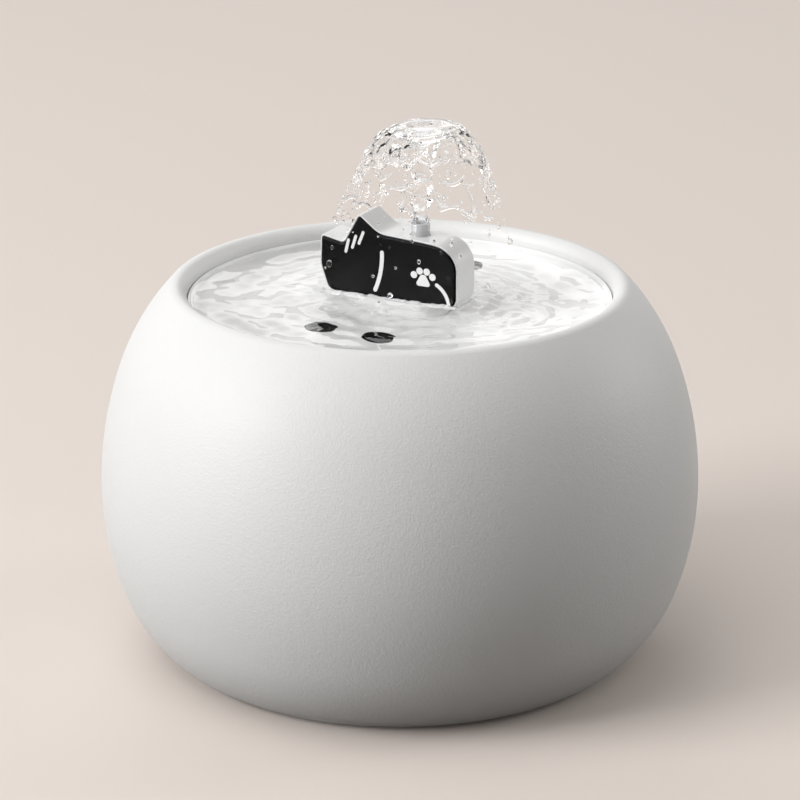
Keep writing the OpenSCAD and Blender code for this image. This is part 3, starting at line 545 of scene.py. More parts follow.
def cellular(name, dark, light, roughness, scale, depth, gloss=0.5):
    """Foam, felt or granules"""
    material, tree, shader, place = blank_material(name)
    cells = add_group(tree, "Open cells", place, {"Scale": scale})
    link_tone(tree, cells["Shade"], shader, shade(dark), shade(light))
    link_bump(tree, cells["Height"], shader, depth)
    feed(tree, shader, {"Roughness": roughness, "Specular IOR Level": gloss})
    return material


def machined(name, colour, roughness, scale=600.0, depth=0.01 * MM):
    """Metal with fine drawn lines"""
    material, tree, shader, place = blank_material(name)
    lines = add_group(tree, "Fine brushing", place, {"Scale": scale})["Height"]
    link_tone(tree, lines, shader, shade(colour, 0.9), shade(colour, 1.08))
    link_roughness(tree, lines, shader, roughness * 0.8, roughness * 1.25)
    link_bump(tree, lines, shader, depth)
    feed(tree, shader, {"Metallic": 1.0})
    return material


def matt_bowl(colour):
    """Matt white shell with a fine sand grain over a soft orange peel"""
    material, tree, shader, place = blank_material("Matt bowl")
    sand = add_group(tree, "Moulded grain", place, {"Grain Scale": 1350.0, "Mottle Scale": 22.0})
    peel = add_group(tree, "Moulded grain", place, {"Grain Scale": 600.0})
    link_tone(tree, sand["Mottle"], shader, shade(colour, 0.985), shade(colour, 1.01))
    link_roughness(tree, peel["Mottle"], shader, 0.44, 0.54)
    first = link_bump(tree, sand["Height"], shader, 0.125 * MM)
    second = add_node(tree, "Bump", {"Height": peel["Height"], "Distance": 0.07 * MM})
    feed(tree, first, {"Normal": second.outputs["Normal"]})
    return material


def gloss_tray(name):
    """Gloss white tray, with painted shade that darkens the walls inside its drain holes to near black"""
    material = moulded(name, (0.92, 0.92, 0.92), 0.16, grain=160.0, depth=0.006 * MM, mottle=0.008)
    tree = material.node_tree
    shader = tree.nodes["Principled BSDF"]
    place = next(node for node in tree.nodes if node.bl_idname == "ShaderNodeTexCoord")
    level = {0: place.outputs["Object"], 1: (1.0, 1.0, 0.0)}
    flat = add_node(tree, "VectorMath", level, operation="MULTIPLY").outputs["Vector"]
    away = [
        add_node(tree, "VectorMath", {0: flat, 1: (x, y, 0.0)}, operation="DISTANCE").outputs["Value"]
        for x, y in drain_places()
    ]
    drain = bpy.context.scene.fountain_tray.drain
    span = {"From Min": drain + 0.05 * MM, "From Max": drain + 0.25 * MM}
    # Painted shade: the tray's colour goes near black inside the drain holes, standing in for the shadow
    # there
    painted_drain_shade = add_node(tree, "MapRange", {"Value": fold(tree, "MINIMUM", *away), **span})
    white = shader.inputs["Base Color"].links[0].from_socket
    link_tone(tree, painted_drain_shade.outputs["Result"], shader, shade((0.02, 0.02, 0.02)), white)
    return material


def water_like(name, net=0.0):
    """Clear water that lets light through to what lies under it, patchily if a net is given"""
    material, tree, shader, place = blank_material(name)
    feed(tree, shader, {"Base Color": shade((1, 1, 1)), "Roughness": 0.0, "IOR": WATER_IOR})
    feed(tree, shader, {"Transmission Weight": 1.0})
    waves = add_group(tree, "Moulded grain", place, {"Grain Scale": 260.0})
    link_bump(tree, waves["Height"], shader, 0.02 * MM)
    clear = add_node(tree, "BsdfTransparent")
    if net:
        feed(tree, clear, {"Color": light_net(tree, place, net)})
    rays = add_node(tree, "LightPath").outputs
    scattered = fold(tree, "MAXIMUM", rays["Is Shadow Ray"], rays["Is Diffuse Ray"])
    surface = blend_shaders(tree, scattered, shader.outputs["BSDF"], clear.outputs["BSDF"])
    feed(tree, tree.nodes["Material Output"], {"Surface": surface})
    return material


def light_net(tree, place, shade_depth):
    """Patches of light that waves gather on the bottom under them, wider and fainter towards +X"""
    along = add_node(tree, "SeparateXYZ", {"Vector": place.outputs["Object"]}).outputs["X"]
    level = {"Vector": place.outputs["Object"], "Scale": (1.0, 1.0, 0.0)}
    flat = add_node(tree, "Mapping", level).outputs["Vector"]
    lumps = {"Vector": flat, "Scale": 62.0, "Detail": 1.6, "Roughness": 0.45, "Distortion": 0.9}
    patches = add_node(tree, "TexNoise", lumps)
    faint = {"Value": along, "From Min": -40 * MM, "From Max": 50 * MM}
    faint |= {"To Min": 1.0 - shade_depth, "To Max": 1.0 - 0.35 * shade_depth}
    wider = {"Value": along, "From Min": -50 * MM, "From Max": 50 * MM}
    wider |= {"To Min": -0.05, "To Max": 0.06}
    widened = add_node(tree, "MapRange", wider).outputs["Result"]
    steps = {"Value": fold(tree, "ADD", widened, patches.outputs["Fac"])}
    steps |= {"From Min": 0.45, "From Max": 0.53}
    steps |= {"To Min": add_node(tree, "MapRange", faint).outputs["Result"]}
    net = add_node(tree, "MapRange", steps, interpolation_type="SMOOTHERSTEP")
    return net.outputs["Result"]


def aerated(name):
    """Water whitened by fine air bubbles, more in some places than in others"""
    material, tree, shader, place = blank_material(name)
    grains = add_group(tree, "Moulded grain", place, {"Grain Scale": 700.0, "Mottle Scale": 240.0})
    link_tone(tree, grains["Mottle"], shader, shade((0.90, 0.91, 0.92)), shade((1, 1, 1)))
    link_bump(tree, grains["Height"], shader, 0.06 * MM)
    feed(tree, shader, {"Roughness": 0.05, "IOR": WATER_IOR, "Transmission Weight": 0.35})
    return material


def frosted(name, colour, roughness, weight):
    """Clear or tinted plastic that is partly see-through"""
    material = moulded(name, colour, roughness, depth=0.005 * MM)
    shader = material.node_tree.nodes["Principled BSDF"]
    feed(material.node_tree, shader, {"Transmission Weight": weight, "IOR": 1.47})
    return material


FINISHES = {}


def finish(slot):
    """The material of one of the record's slots"""
    if slot not in FINISHES:
        FINISHES[slot] = FINISH_MAKERS[slot]()
    return FINISHES[slot]


FINISH_MAKERS = {
    "shell": lambda: matt_bowl(tuple(bpy.context.scene.fountain_bowl.colour)),
    "base": lambda: moulded("Matt base", (0.78, 0.78, 0.775), 0.5, grain=700.0),
    "screw": lambda: machined("Plated screw", (0.62, 0.62, 0.63), 0.3),
    "rubber": lambda: moulded("Grey rubber", (0.12, 0.12, 0.12), 0.72, grain=500.0, depth=0.05 * MM),
    "tank": lambda: moulded("Tank plastic", (0.80, 0.80, 0.79), 0.3, grain=300.0),
    "silicone": lambda: moulded("Silicone", (0.66, 0.67, 0.67), 0.42, grain=400.0),
    "black_plastic": lambda: moulded("Black plastic", (0.02, 0.02, 0.02), 0.4, grain=800.0),
    "brass": lambda: machined("Brass pin", (0.80, 0.62, 0.30), 0.25),
    "lead": lambda: moulded("Lead jacket", (0.018, 0.018, 0.018), 0.5, grain=700.0),
    "pump": lambda: moulded("Pump plastic", (0.028, 0.030, 0.032), 0.42, grain=700.0),
    "board": lambda: moulded("Circuit board", (0.02, 0.16, 0.06), 0.35, grain=300.0),
    "iron": lambda: machined("Core iron", (0.36, 0.36, 0.37), 0.45),
    "copper": lambda: machined("Copper winding", (0.72, 0.36, 0.20), 0.3, scale=2200.0),
    "shaft": lambda: moulded("Ceramic shaft", (0.86, 0.85, 0.80), 0.18, grain=400.0),
    "clear_tube": lambda: frosted("Clear tube", (0.88, 0.91, 0.92), 0.12, 0.75),
    "impeller": lambda: moulded("Impeller plastic", (0.80, 0.80, 0.78), 0.35),
    "magnet": lambda: moulded("Ferrite magnet", (0.05, 0.05, 0.055), 0.55, grain=500.0),
    "sponge": lambda: cellular(
        "Grey sponge", (0.05, 0.055, 0.06), (0.16, 0.17, 0.19), 0.9, 900.0, 0.5 * MM
    ),
    "regulator": lambda: moulded("Grey plastic", (0.45, 0.46, 0.46), 0.38),
    "tray": lambda: gloss_tray("Gloss tray"),
    "basket": lambda: moulded("Basket plastic", (0.80, 0.80, 0.79), 0.35),
    "carbon": lambda: cellular(
        "Carbon granules", (0.004, 0.004, 0.004), (0.02, 0.02, 0.02), 0.4, 620.0, 0.7 * MM, 0.12
    ),
    "cotton": lambda: cellular(
        "Cotton pad", (0.74, 0.74, 0.72), (0.86, 0.86, 0.84), 0.95, 1500.0, 0.3 * MM
    ),
    "cat_white": lambda: moulded(
        "Satin cat",
        tuple(bpy.context.scene.fountain_cat.white),
        0.34,
        grain=1100.0,
        depth=0.008 * MM,
        mottle=0.01,
    ),
    "cat_black": lambda: moulded(
        "Gloss plate",
        tuple(bpy.context.scene.fountain_cat.black),
        0.24,
        grain=1200.0,
        depth=0.004 * MM,
        mottle=0.1,
        gloss=0.12,
    ),
    "print_white": lambda: moulded(
        "White print", (0.86, 0.86, 0.86), 0.3, grain=1400.0, depth=0.006 * MM
    ),
    "nozzle": lambda: frosted("Smoked nozzle", (0.80, 0.81, 0.82), 0.16, 0.45),
    "water": lambda: water_like("Clear water"),
    "pool": lambda: water_like("Pool water", net=0.2),
    "foam": lambda: aerated("Aerated water"),
}


# ---------------------------------------------------------------- outlines


# Side view of the bowl from the foot to the mouth: where each arc starts and ends, in degrees, and
# the radii in millimetres of all the arcs but the rim's
BOWL_TURNS = (-90, -48, -20, 0, 20, 36, 44, 180)
BOWL_ARCS = (12, 55, 104, 126, 83.5, 70.5)


def shell_outline(bowl, inset):
    """Outside of the bowl as (radius, height), set in by inset, from the foot to the mouth"""
    turns = BOWL_TURNS
    arcs = [a * MM for a in BOWL_ARCS] + [bowl.rim_round]
    widest = turns.index(0)
    reach = sum(
        (arcs[i] * (direction(turns[i + 1]) - direction(turns[i])).x for i in range(widest)), 0.0
    )
    point = Vector((bowl.width / 2 - reach, FOOT_GAP)) - inset * direction(turns[0])
    points = [point.copy()]
    for arc, start, end in zip(arcs, turns, turns[1:]):
        radius = arc - inset
        steps = max(4, math.ceil(arc * math.radians(end - start) / (2.2 * MM)))
        if arc == bowl.rim_round:
            steps = 28
        centre = point - radius * direction(start)
        points += [
            centre + radius * direction(start + (end - start) * k / steps) for k in range(1, steps + 1)
        ]
        point = points[-1].copy()
    return [tuple(p) for p in points]


def round_corner(before, corner, after, radius, inset):
    """Points of one rounded corner of a clockwise outline that is set in by inset"""
    u, v = (before - corner).normalized(), (after - corner).normalized()
    half = u.angle(v) / 2
    turn = (corner - before).x * (after - corner).y - (corner - before).y * (after - corner).x
    out = 1 if turn < 0 else -1
    mid = (u + v).normalized()
    tip = corner + out * mid * inset / math.sin(half)
    rounding = max(radius - out * inset, 0.3 * MM)
    centre = tip + mid * rounding / math.sin(half)
    start = tip + u * rounding / math.tan(half) - centre
    sweep = math.copysign(math.pi - 2 * half, turn)
    a0 = math.atan2(start.y, start.x)
    steps = max(3, math.ceil(abs(sweep) / math.radians(5)))
    return [
        centre + rounding * Vector((math.cos(a0 + sweep * k / steps), math.sin(a0 + sweep * k / steps)))
        for k in range(steps + 1)
    ]


# Corners of the cat's side view in millimetres: x, height over the belly, rounding
CAT_CORNERS = (
    (-24.6, 0, 4),
    (-28, 9.5, 9),
    (-27.6, 20.6, 1.4),
    (-18.6, 18.9, 1.6),
    (-12.6, 29.8, 1.4),
    (-4.4, 23.8, 8),
    (12, 23, 30),
    (25.6, 21.8, 9.5),
    (25.6, 0, 4.5),
)


def cat_outline(belly, inset=0.0):
    """The cat's side view as (x, z), set in by inset"""
    corners = [Vector((x * MM, z * MM)) for x, z, _ in CAT_CORNERS]
    count = len(corners)
    points = []
    for i in range(count):
        points += round_corner(
            corners[i - 1], corners[i], corners[(i + 1) % count], CAT_CORNERS[i][2] * MM, inset
        )
    return [(p.x, p.y + belly) for p in points]


# ---------------------------------------------------------------- pieces


class FOUNTAIN_OT_bowl(bpy.types.Operator):
    """Turn the outer shell with its rolled rim and cut the socket's pocket"""

    bl_idname = "fountain.bowl"
    bl_label = "Bowl"

    def execute(self, context):
        bowl = context.scene.fountain_bowl
        recess, ledge = 2.7 * MM, 2.2 * MM
        base_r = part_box("base_plate")[1].x + GAP
        recess_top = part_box("base_plate")[0].z + recess
        ledge_top = recess_top + ledge
        outside = [p for p in shell_outline(bowl, 0.0) if p[0] > base_r or p[1] > RIM_TOP / 2]
        mouth, lip = outside[-1]
        inside = [p for p in shell_outline(bowl, bowl.wall) if p[1] > ledge_top]
        ledge_r = mouth + bowl.wall + 2 * GAP
        outline = (
            [(base_r, FOOT_GAP + 0.45 * MM)]
            + outside
            + [(mouth, lip - bowl.collar), (mouth + bowl.wall, lip - bowl.collar)]
            + inside[::-1]
            + [(ledge_r, ledge_top), (ledge_r, recess_top), (base_r, recess_top)]
        )
        shell = lathe("bowl_shell", outline, steps=192)
        self.cut_pocket(shell, bowl, outside, lip)
        finish_surface(shell, 40)
        dress(shell, "bowl", "shell", finish("shell"), "outer_shell")
        return {"FINISHED"}

    def cut_pocket(self, shell, bowl, outside, lip):
        """Sinks the round pocket of the power socket into the back of the shell"""
        wall, floor, socket_r = 2.2 * MM, 2.4 * MM, 4.1 * MM
        floor_y = SOCKET_HIGH.y - 1.4 * MM

        def bar(name, radius, near, far, sides=64):
            """Rod along the socket's axis"""
            return rod(name, radius, (0, near, SOCKET_Z), (0, far, SOCKET_Z), "Y", sides)

        solid = lathe(
            "shell_solid", [(0.0, outside[0][1])] + outside + [(0.0, lip)], steps=192, closed=False
        )
        behind = bowl.width / 2 + 5 * MM
        cup = bar("pocket_cup", bowl.pocket + wall, floor_y - floor, behind)
        combine(cup, solid, "INTERSECT")
        combine(shell, cup, "UNION")
        combine(shell, bar("pocket", bowl.pocket, floor_y, bowl.width, 96))
        combine(shell, bar("socket_hole", socket_r, floor_y - 2 * floor, floor_y + MM))


class FOUNTAIN_OT_tray(bpy.types.Operator):
    """Turn the gloss drinking tray and cut its drains and the riser's bore"""

    bl_idname = "fountain.tray"
    bl_label = "Tray"

    def execute(self, context):
        tray = context.scene.fountain_tray
        under = POOL_FLOOR - tray.floor
        inner = tray.radius - tray.wall
        foot = tray.radius - 2.5 * MM
        corner = Vector((inner - tray.fillet, POOL_FLOOR + tray.fillet))
        steps = 18
        fillet = [corner + tray.fillet * direction(-90 * k / steps) for k in range(steps + 1)]
        outline = (
            [(0.0, under), (foot, under), (foot, TRAY_FOOT), (tray.radius, TRAY_FOOT)]
            + [(tray.radius, TRAY_EDGE - 0.3 * MM), (tray.radius - 0.3 * MM, TRAY_EDGE)]
            + [(tray.radius - 0.7 * MM, TRAY_EDGE), (inner + 0.3 * MM, TRAY_EDGE - 0.7 * MM)]
            + [(inner, TRAY_EDGE - 1.3 * MM)]
            + [tuple(p) for p in fillet]
            + [(0.0, POOL_FLOOR)]
        )
        piece = lathe("tray_dish", outline, steps=192, closed=False)
        boss_top = POOL_FLOOR + BOSS_HEIGHT
        outlet = (OUTLET_X, 0)
        seal_r, seal_low, seal_high = 6.6 * MM, POOL_FLOOR + 1.6 * MM, POOL_FLOOR + 3.6 * MM
        combine(piece, rod("boss", BOSS_R, (*outlet, under + MM), (*outlet, boss_top)), "UNION")
        combine(piece, rod("bore", BORE_R, (*outlet, under - MM), (*outlet, boss_top + MM)))
        combine(piece, rod("groove", seal_r, (*outlet, seal_low), (*outlet, seal_high)))
        for x, y in drain_places():
            low, high = (x, y, under - MM), (x, y, POOL_FLOOR + MM)
            combine(piece, rod("drain", tray.drain, low, high, sides=96))
        round_edges(piece, 0.35 * MM, 2)
        finish_surface(piece, 40)
        dress(piece, "tray", "tray", finish("tray"), "drinking_tray")
        return {"FINISHED"}


def drain_places():
    """Middles of the two front drains and the rear one"""
    front, angle, rear = 38 * MM, math.radians(17), 51 * MM
    return [
        (front * math.sin(-angle), -front * math.cos(angle)),
        (front * math.sin(angle), -front * math.cos(angle)),
        (0.0, rear),
    ]


class FOUNTAIN_OT_cat(bpy.types.Operator):
    """Model the cat cover: hollow shell on its pedestal and the black plate in its recess"""

    bl_idname = "fountain.cat"
    bl_label = "Cat cover"

    def execute(self, context):
        cat = context.scene.fountain_cat
        belly = PLATE_LOW.z - cat.plate_edge
        shell = self.body(cat, belly)
        self.add_pedestal(shell, cat, belly)
        hole = ((OUTLET_X, 0, belly + 4 * MM), (OUTLET_X, 0, NOZZLE_TIP.z))
        combine(shell, rod("nozzle_hole", 3.6 * MM, *hole))
        finish_surface(shell, 38)
        dress(shell, "cat", "cat_white", finish("cat_white"), "cat_shell")

        outline = cat_outline(belly, cat.plate_edge)
        plate = slab("cat_front_plate", outline, PLATE_LOW.y, PLATE_HIGH.y)
        round_edges(plate, cat.plate_round, 5)
        finish_surface(plate, 38)
        dress(plate, "cat", "cat_black", finish("cat_black"), "cat_plate")
        return {"FINISHED"}

    def body(self, cat, belly):
        """Solid body of the cat with the plate's recess in its front"""
        half = cat.thickness / 2
        shell = slab("cat_body", cat_outline(belly), -half, half)
        recess = cat_outline(belly, cat.plate_edge - 0.1 * MM)
        combine(shell, slab("plate_recess", recess, -half - MM, PLATE_HIGH.y))
        round_edges(shell, cat.shell_round, 4)
        return shell

    def add_pedestal(self, shell, cat, belly):
        """Adds the pedestal under the body and hollows both out into one room"""
        wall, half = cat.wall, cat.thickness / 2
        radius = BOSS_R + GAP + wall
        x0, x1 = -18 * MM, 20 * MM
        base = stadium("pedestal", x0, x1, radius, POOL_FLOOR + GAP, belly + 0.8 * MM)
        combine(shell, base, "UNION")
        combine(shell, slab("cat_hollow", cat_outline(belly, wall), -half + wall, half - wall))
        ends = (x0 + wall, x1 - wall, radius - wall)
        combine(shell, stadium("pedestal_hollow", *ends, POOL_FLOOR - MM, belly - MM))
        left, right, top = x0 + radius, OUTLET_X + BORE_R, belly + 2 * wall
        throat = [(left, POOL_FLOOR), (right, POOL_FLOOR), (right, top), (left, top)]
        combine(shell, slab("throat", throat, -half + wall, half - wall))


class FOUNTAIN_OT_nozzle(bpy.types.Operator):
    """Turn the smoked nozzle"""

    bl_idname = "fountain.nozzle"
    bl_label = "Nozzle"

    def execute(self, context):
        tip, low = NOZZLE_TIP.z / MM, NOZZLE_LOW.z / MM
        flange = (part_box("riser_tube")[1].z + 2 * GAP) / MM
        bore, spigot, collar, neck = 1.7, 3.1, 4.4, 3.5
        outline = [
            (bore, low),
            (spigot - 0.3, low),
            (spigot, low + 0.4),
            (spigot, flange),
            (collar - 0.3, flange),
            (collar, flange + 0.3),
            (collar, flange + 1.7),
            (collar - 0.3, flange + 2),
            (neck, flange + 2),
            (neck, tip - 4.4),
            (3.36, tip - 4.2),
            (3.3, tip - 4.0),
            (3.05, tip - 0.6),
            (2.85, tip - 0.15),
            (2.6, tip),
            (2.0, tip),
            (bore, tip - 0.3),
        ]
        outline = [(r * MM, z * MM) for r, z in outline]
        piece = lathe("outlet_tip", outline, (OUTLET_X, 0.0), steps=64)
        dress(piece, "cat", "nozzle", finish("nozzle"), "outlet_nozzle")
        return {"FINISHED"}


def wave_height(x, y, tray):
    """Height of the pool's surface over its calm level"""
    away = math.hypot(x - OUTLET_X, y)
    round_angle = math.atan2(y, x - OUTLET_X)
    swirl = noise.noise(Vector((x * 38, y * 38, 1.7)))
    lumps = noise.noise(Vector((x * 95, y * 95, 4.2)))
    fine = noise.noise(Vector((x * 210, y * 210, 9.1)))
    phase = (away - 26 * MM) / (9.5 * MM) * math.tau + 2.2 * swirl + 0.6 * math.sin(3 * round_angle)
    ring = math.cos(phase) * math.exp(-abs(away - 27 * MM) / (24 * MM))
    centre_r = math.hypot(x, y)
    wall_phase = (tray.radius - centre_r) / (12 * MM) * math.tau + 2.6 * swirl
    wall = math.cos(wall_phase) * math.exp(-(tray.radius - centre_r) / (30 * MM))
    drops = 0.0
    for x0, y0, length, size in DROP_MARKS:
        d = math.hypot(x - x0, y - y0)
        drops += size * math.cos(d / length * math.tau) * math.exp(-d / (1.4 * length))
    beyond = Vector((max(abs(x + MM) - 25 * MM, 0.0), max(abs(y) - 7.2 * MM, 0.0))).length
    lean = 0.9 + 0.6 * within(x / (25 * MM), -1.0, 1.0)
    swell = lean * math.exp(-((beyond / (12 * MM)) ** 2))
    chop = noise.noise(Vector((x * 430, y * 430, 2.6)))
    swell += (1.0 * lumps + 1.7 * fine) * math.exp(-beyond / (4 * MM))
    swell += 0.55 * chop * math.exp(-beyond / (7 * MM))
    return swell * MM + tray.ripple * (
        0.62 * ring + 0.34 * wall + 0.75 * lumps + 0.28 * fine + 0.6 * swirl + drops
    )


def struck_places():
    """Places where drops have just struck the pool: x, y, wavelength and strength"""
    chance = random.Random(11)
    places = []
    for _ in range(16):
        angle, away = chance.uniform(0, math.tau), chance.uniform(23, 36) * MM
        length, size = chance.uniform(3.6, 6.5) * MM, chance.uniform(0.35, 0.95)
        places.append((OUTLET_X + away * math.cos(angle), away * math.sin(angle), length, size))
    return places


DROP_MARKS = struck_places()


class FOUNTAIN_OT_pool(bpy.types.Operator):
    """Fill the tray with rippled water"""

    bl_idname = "fountain.pool"
    bl_label = "Pool"

    def execute(self, context):
        tray = context.scene.fountain_tray
        level = TRAY_EDGE - tray.water_drop
        edge = tray.radius - tray.wall + 0.75 * MM
        low = POOL_FLOOR - tray.floor + 0.1 * MM
        rings = 96
        outline = [(0.0, low), (edge, low), (edge, level)]
        outline += [(edge * (1 - k / rings), level) for k in range(1, rings + 1)]
        water = lathe("pool_water", outline, steps=288, closed=False)
        for vertex in water.data.vertices:
            if vertex.co.z > level - 0.1 * MM:
                x, y = vertex.co.x, vertex.co.y
                r = math.hypot(x, y)
                calm = min(1.0, (edge - r) / (3 * MM))
                climb = 0.25 * MM * math.exp(-(edge - r) / (1.2 * MM))
                vertex.co.z = level + wave_height(x, y, tray) * calm + climb
        carbon_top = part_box("carbon_bed")[1].z - 0.15 * MM
        for x, y in drain_places():
            combine(
                water,
                rod("drip", tray.drain + 0.05 * MM, (x, y, carbon_top), (x, y, POOL_FLOOR - MM)),
                "UNION",
            )
        finish_surface(water, 60)
        dress(water, "tray", "water", finish("pool"))
        splash = self.splash_edge()
        dress(splash, "tray", "water", finish("foam"))
        return {"FINISHED"}

    def splash_edge(self):
        """Uneven roll of aerated water along the cat's waterline"""
        beads = []
        rear, fore, side, width = -26.5, 25.5, 26.2, 14.2
        level, front = TRAY_EDGE / MM, PLATE_LOW.y / MM
        steps = 96
        for k in range(steps + 1):
            part = k / steps
            x = rear + (fore - rear) * part
            wander = noise.noise(Vector((x * 0.33, 4.0, 0.5)))
            jitter = noise.noise(Vector((x * 0.9, 8.0, 1.5)))
            size = 0.75 + 0.35 * wander + 0.3 * jitter
            top = level + 0.7 + 1.1 * part + 0.55 * wander + 0.3 * jitter
            y = front - 0.15 - 0.35 * size
            beads.append((Vector((x, y, top - size)) * MM, size, ROUND))
            beads.append((Vector((x, y - 0.6, top - 1.7 * size)) * MM, size, ROUND))
        steps = 23
        for k in range(steps + 1):
            y = front + width * k / steps
            jitter = noise.noise(Vector((y * 0.7, 2.0, 3.5)))
            size = 0.75 + 0.4 * jitter
            top = level + 1.25 + 0.5 * jitter
            beads.append((Vector((side, y, top - size)) * MM, size, ROUND))
        edge = balls("splash_edge", beads)
        edge.data.remesh_voxel_size = 0.22 * MM
        pick(edge)
        bpy.ops.object.voxel_remesh()
        apply_modifier(edge, "SMOOTH", factor=0.5, iterations=4)
        bpy.ops.object.shade_smooth()
        return edge


def beside(side, away, height, stage):
    """A place given by its offset to the camera's right, away from the camera and over the outlet"""
    turn = stage.azimuth
    return Vector(
        (
            OUTLET_X + (side * math.cos(turn) - away * math.sin(turn)) * MM,
            (side * math.sin(turn) + away * math.cos(turn)) * MM,
            NOZZLE_TIP.z + height * MM,
        )
    )


def tubes(name, strands):
    """Strands of water, each a list of (point, radius), as one mesh"""
    to_object_mode()
    curve = bpy.data.curves.new(name, "CURVE")
    curve.dimensions = "3D"
    curve.bevel_depth = MM
    curve.bevel_resolution = 3
    curve.resolution_u = 6
    curve.use_fill_caps = True
    for strand in strands:
        spline = curve.splines.new("NURBS")
        spline.points.add(len(strand) - 1)
        spline.order_u = 3
        spline.use_endpoint_u = True
        for point, (place, radius) in zip(spline.points, strand):
            point.co = (*place, 1.0)
            point.radius = radius
    piece = bpy.data.objects.new(name, curve)
    bpy.context.scene.collection.objects.link(piece)
    pick(piece)
    bpy.ops.object.convert(target="MESH")
    return bpy.context.object


# Stretch of a drop that is as wide as it is high
ROUND = (1, 1, 1)


def balls(name, list_of_balls, divisions=2):
    """Drops, each given by its place, its radius and its stretch along each axis, as one mesh"""
    to_object_mode()
    start = list_of_balls[0][0]
    bpy.ops.mesh.primitive_ico_sphere_add(subdivisions=divisions, radius=MM, location=start)
    piece = bpy.context.object
    piece.name = piece.data.name = name
    bpy.ops.object.mode_set(mode="EDIT")
    bpy.ops.mesh.select_all(action="SELECT")
    bpy.ops.mesh.delete(type="VERT")
    for place, radius, stretch in list_of_balls:
        bpy.ops.mesh.primitive_ico_sphere_add(
            subdivisions=divisions,
            radius=radius * MM,
            location=place,
            scale=stretch,
        )
    bpy.ops.object.mode_set(mode="OBJECT")
    settle(piece)
    pick(piece)
    bpy.ops.object.shade_smooth()
    return piece


# Strands that leave the bell: offset to the camera's right, offset away from the camera,
# height over the outlet and radius, all in millimetres
BELL_STRANDS = (
    ((-26.8, -8, 9.7, 0.6), (-25.1, -8, 11.1, 0.5), (-23.5, -8, 11.9, 0.55), (-21.8, -8, 11.1, 0.5)),
    (
        (-23.2, -9, 10.1, 0.6), (-21.8, -9, 8.3, 0.75), (-19.9, -9, 9.6, 0.45),
        (-18.5, -9, 9.2, 0.5), (-17.2, -9, 7.7, 0.6),
    ),
    (
        (-13.9, -6, 8.0, 0.55), (-13.0, -6, 11.0, 0.6), (-12.2, -6, 13.2, 0.6),
        (-10.1, -6, 14.9, 0.5), (-8.5, -6, 13.7, 0.55),
    ),
    ((-8.5, -6, 13.7, 0.55), (-6.0, -6, 13.7, 0.6), (-4.7, -6, 15.4, 0.5), (-2.6, -3, 14.0, 0.5)),
    ((-6.4, -5, 12.5, 0.5), (-5.1, -5, 9.8, 0.6), (-6.8, -5, 6.3, 0.85), (-7.6, -5, 5.6, 0.5)),
    ((-6.8, -3, 5.6, 0.6), (-4.7, -3, 5.6, 0.5), (-3.5, -3, 4.3, 0.5), (-2.4, -3, 2.9, 0.7)),
    ((-15.1, -8, 20.5, 0.4), (-14.1, -8, 17.9, 0.75), (-12.2, -8, 18.6, 0.45), (-10.1, -8, 20.0, 0.35)),
    ((-7.4, -6, 22.3, 0.35), (-6.4, -6, 20.5, 0.4), (-4.5, -6, 20.7, 0.35), (-4.1, -6, 22.1, 0.35)),
    (
        (4.2, -4, 11.4, 0.5), (5.3, -4, 9.5, 0.5), (7.0, -4, 5.9, 0.85),
        (9.9, -4, 6.8, 0.55), (12.4, -4, 7.0, 0.65), (12.7, -4, 5.9, 0.5),
    ),
    ((2.6, -3, 12.9, 0.5), (3.6, -4, 12.3, 0.5), (6.1, -4, 11.2, 0.35), (7.3, -4, 10.3, 0.3)),
    ((13.6, -10, 7.1, 0.7), (15.7, -10, 5.8, 0.85), (18.5, -10, 3.8, 0.8)),
    (
        (15.3, -10, 15.1, 0.35), (16.1, -10, 13.3, 0.4), (17.6, -10, 10.7, 0.5),
        (18.0, -10, 8.0, 0.6), (18.2, -10, 6.2, 0.85),
    ),
    (
        (6.5, -8, 17.0, 0.4), (8.2, -8, 15.7, 0.5), (11.1, -8, 15.7, 0.65),
        (13.2, -8, 17.0, 0.6), (14.5, -8, 19.0, 0.35),
    ),
    ((13.2, -9, 16.9, 0.4), (15.3, -9, 15.2, 0.35), (16.9, -9, 16.0, 0.35)),
    ((7.4, -7, 20.0, 0.5), (9.5, -7, 20.4, 0.5), (8.4, -7, 17.8, 0.8)),
    ((-2.4, -2, 16.5, 0.5), (-3.6, -3, 19.5, 0.6), (-6.2, -6, 23.0, 0.7), (-8.6, -9, 26.0, 0.6)),
    ((2.6, -2, 19.0, 0.5), (4.6, -4, 22.0, 0.7), (7.6, -8, 25.5, 0.6)),
)

# Lumps of water that merge into the jet and the strands, in the same measure
BELL_LUMPS = (
    (-21.8, -9, 8.4, 1.0), (-14.1, -8, 18.0, 1.0), (-12.2, -6, 13.0, 1.0), (-6.8, -5, 6.3, 1.1),
    (7.0, -4, 6.0, 1.1), (12.5, -4, 6.8, 0.9), (18.2, -10, 5.8, 1.1), (8.6, -7, 18.2, 1.1),
    (3.2, -2, 8.4, 1.1), (-3.0, -2, 7.0, 1.0), (2.8, -2, 1.6, 0.8), (-2.6, -2, 0.6, 0.8),
)

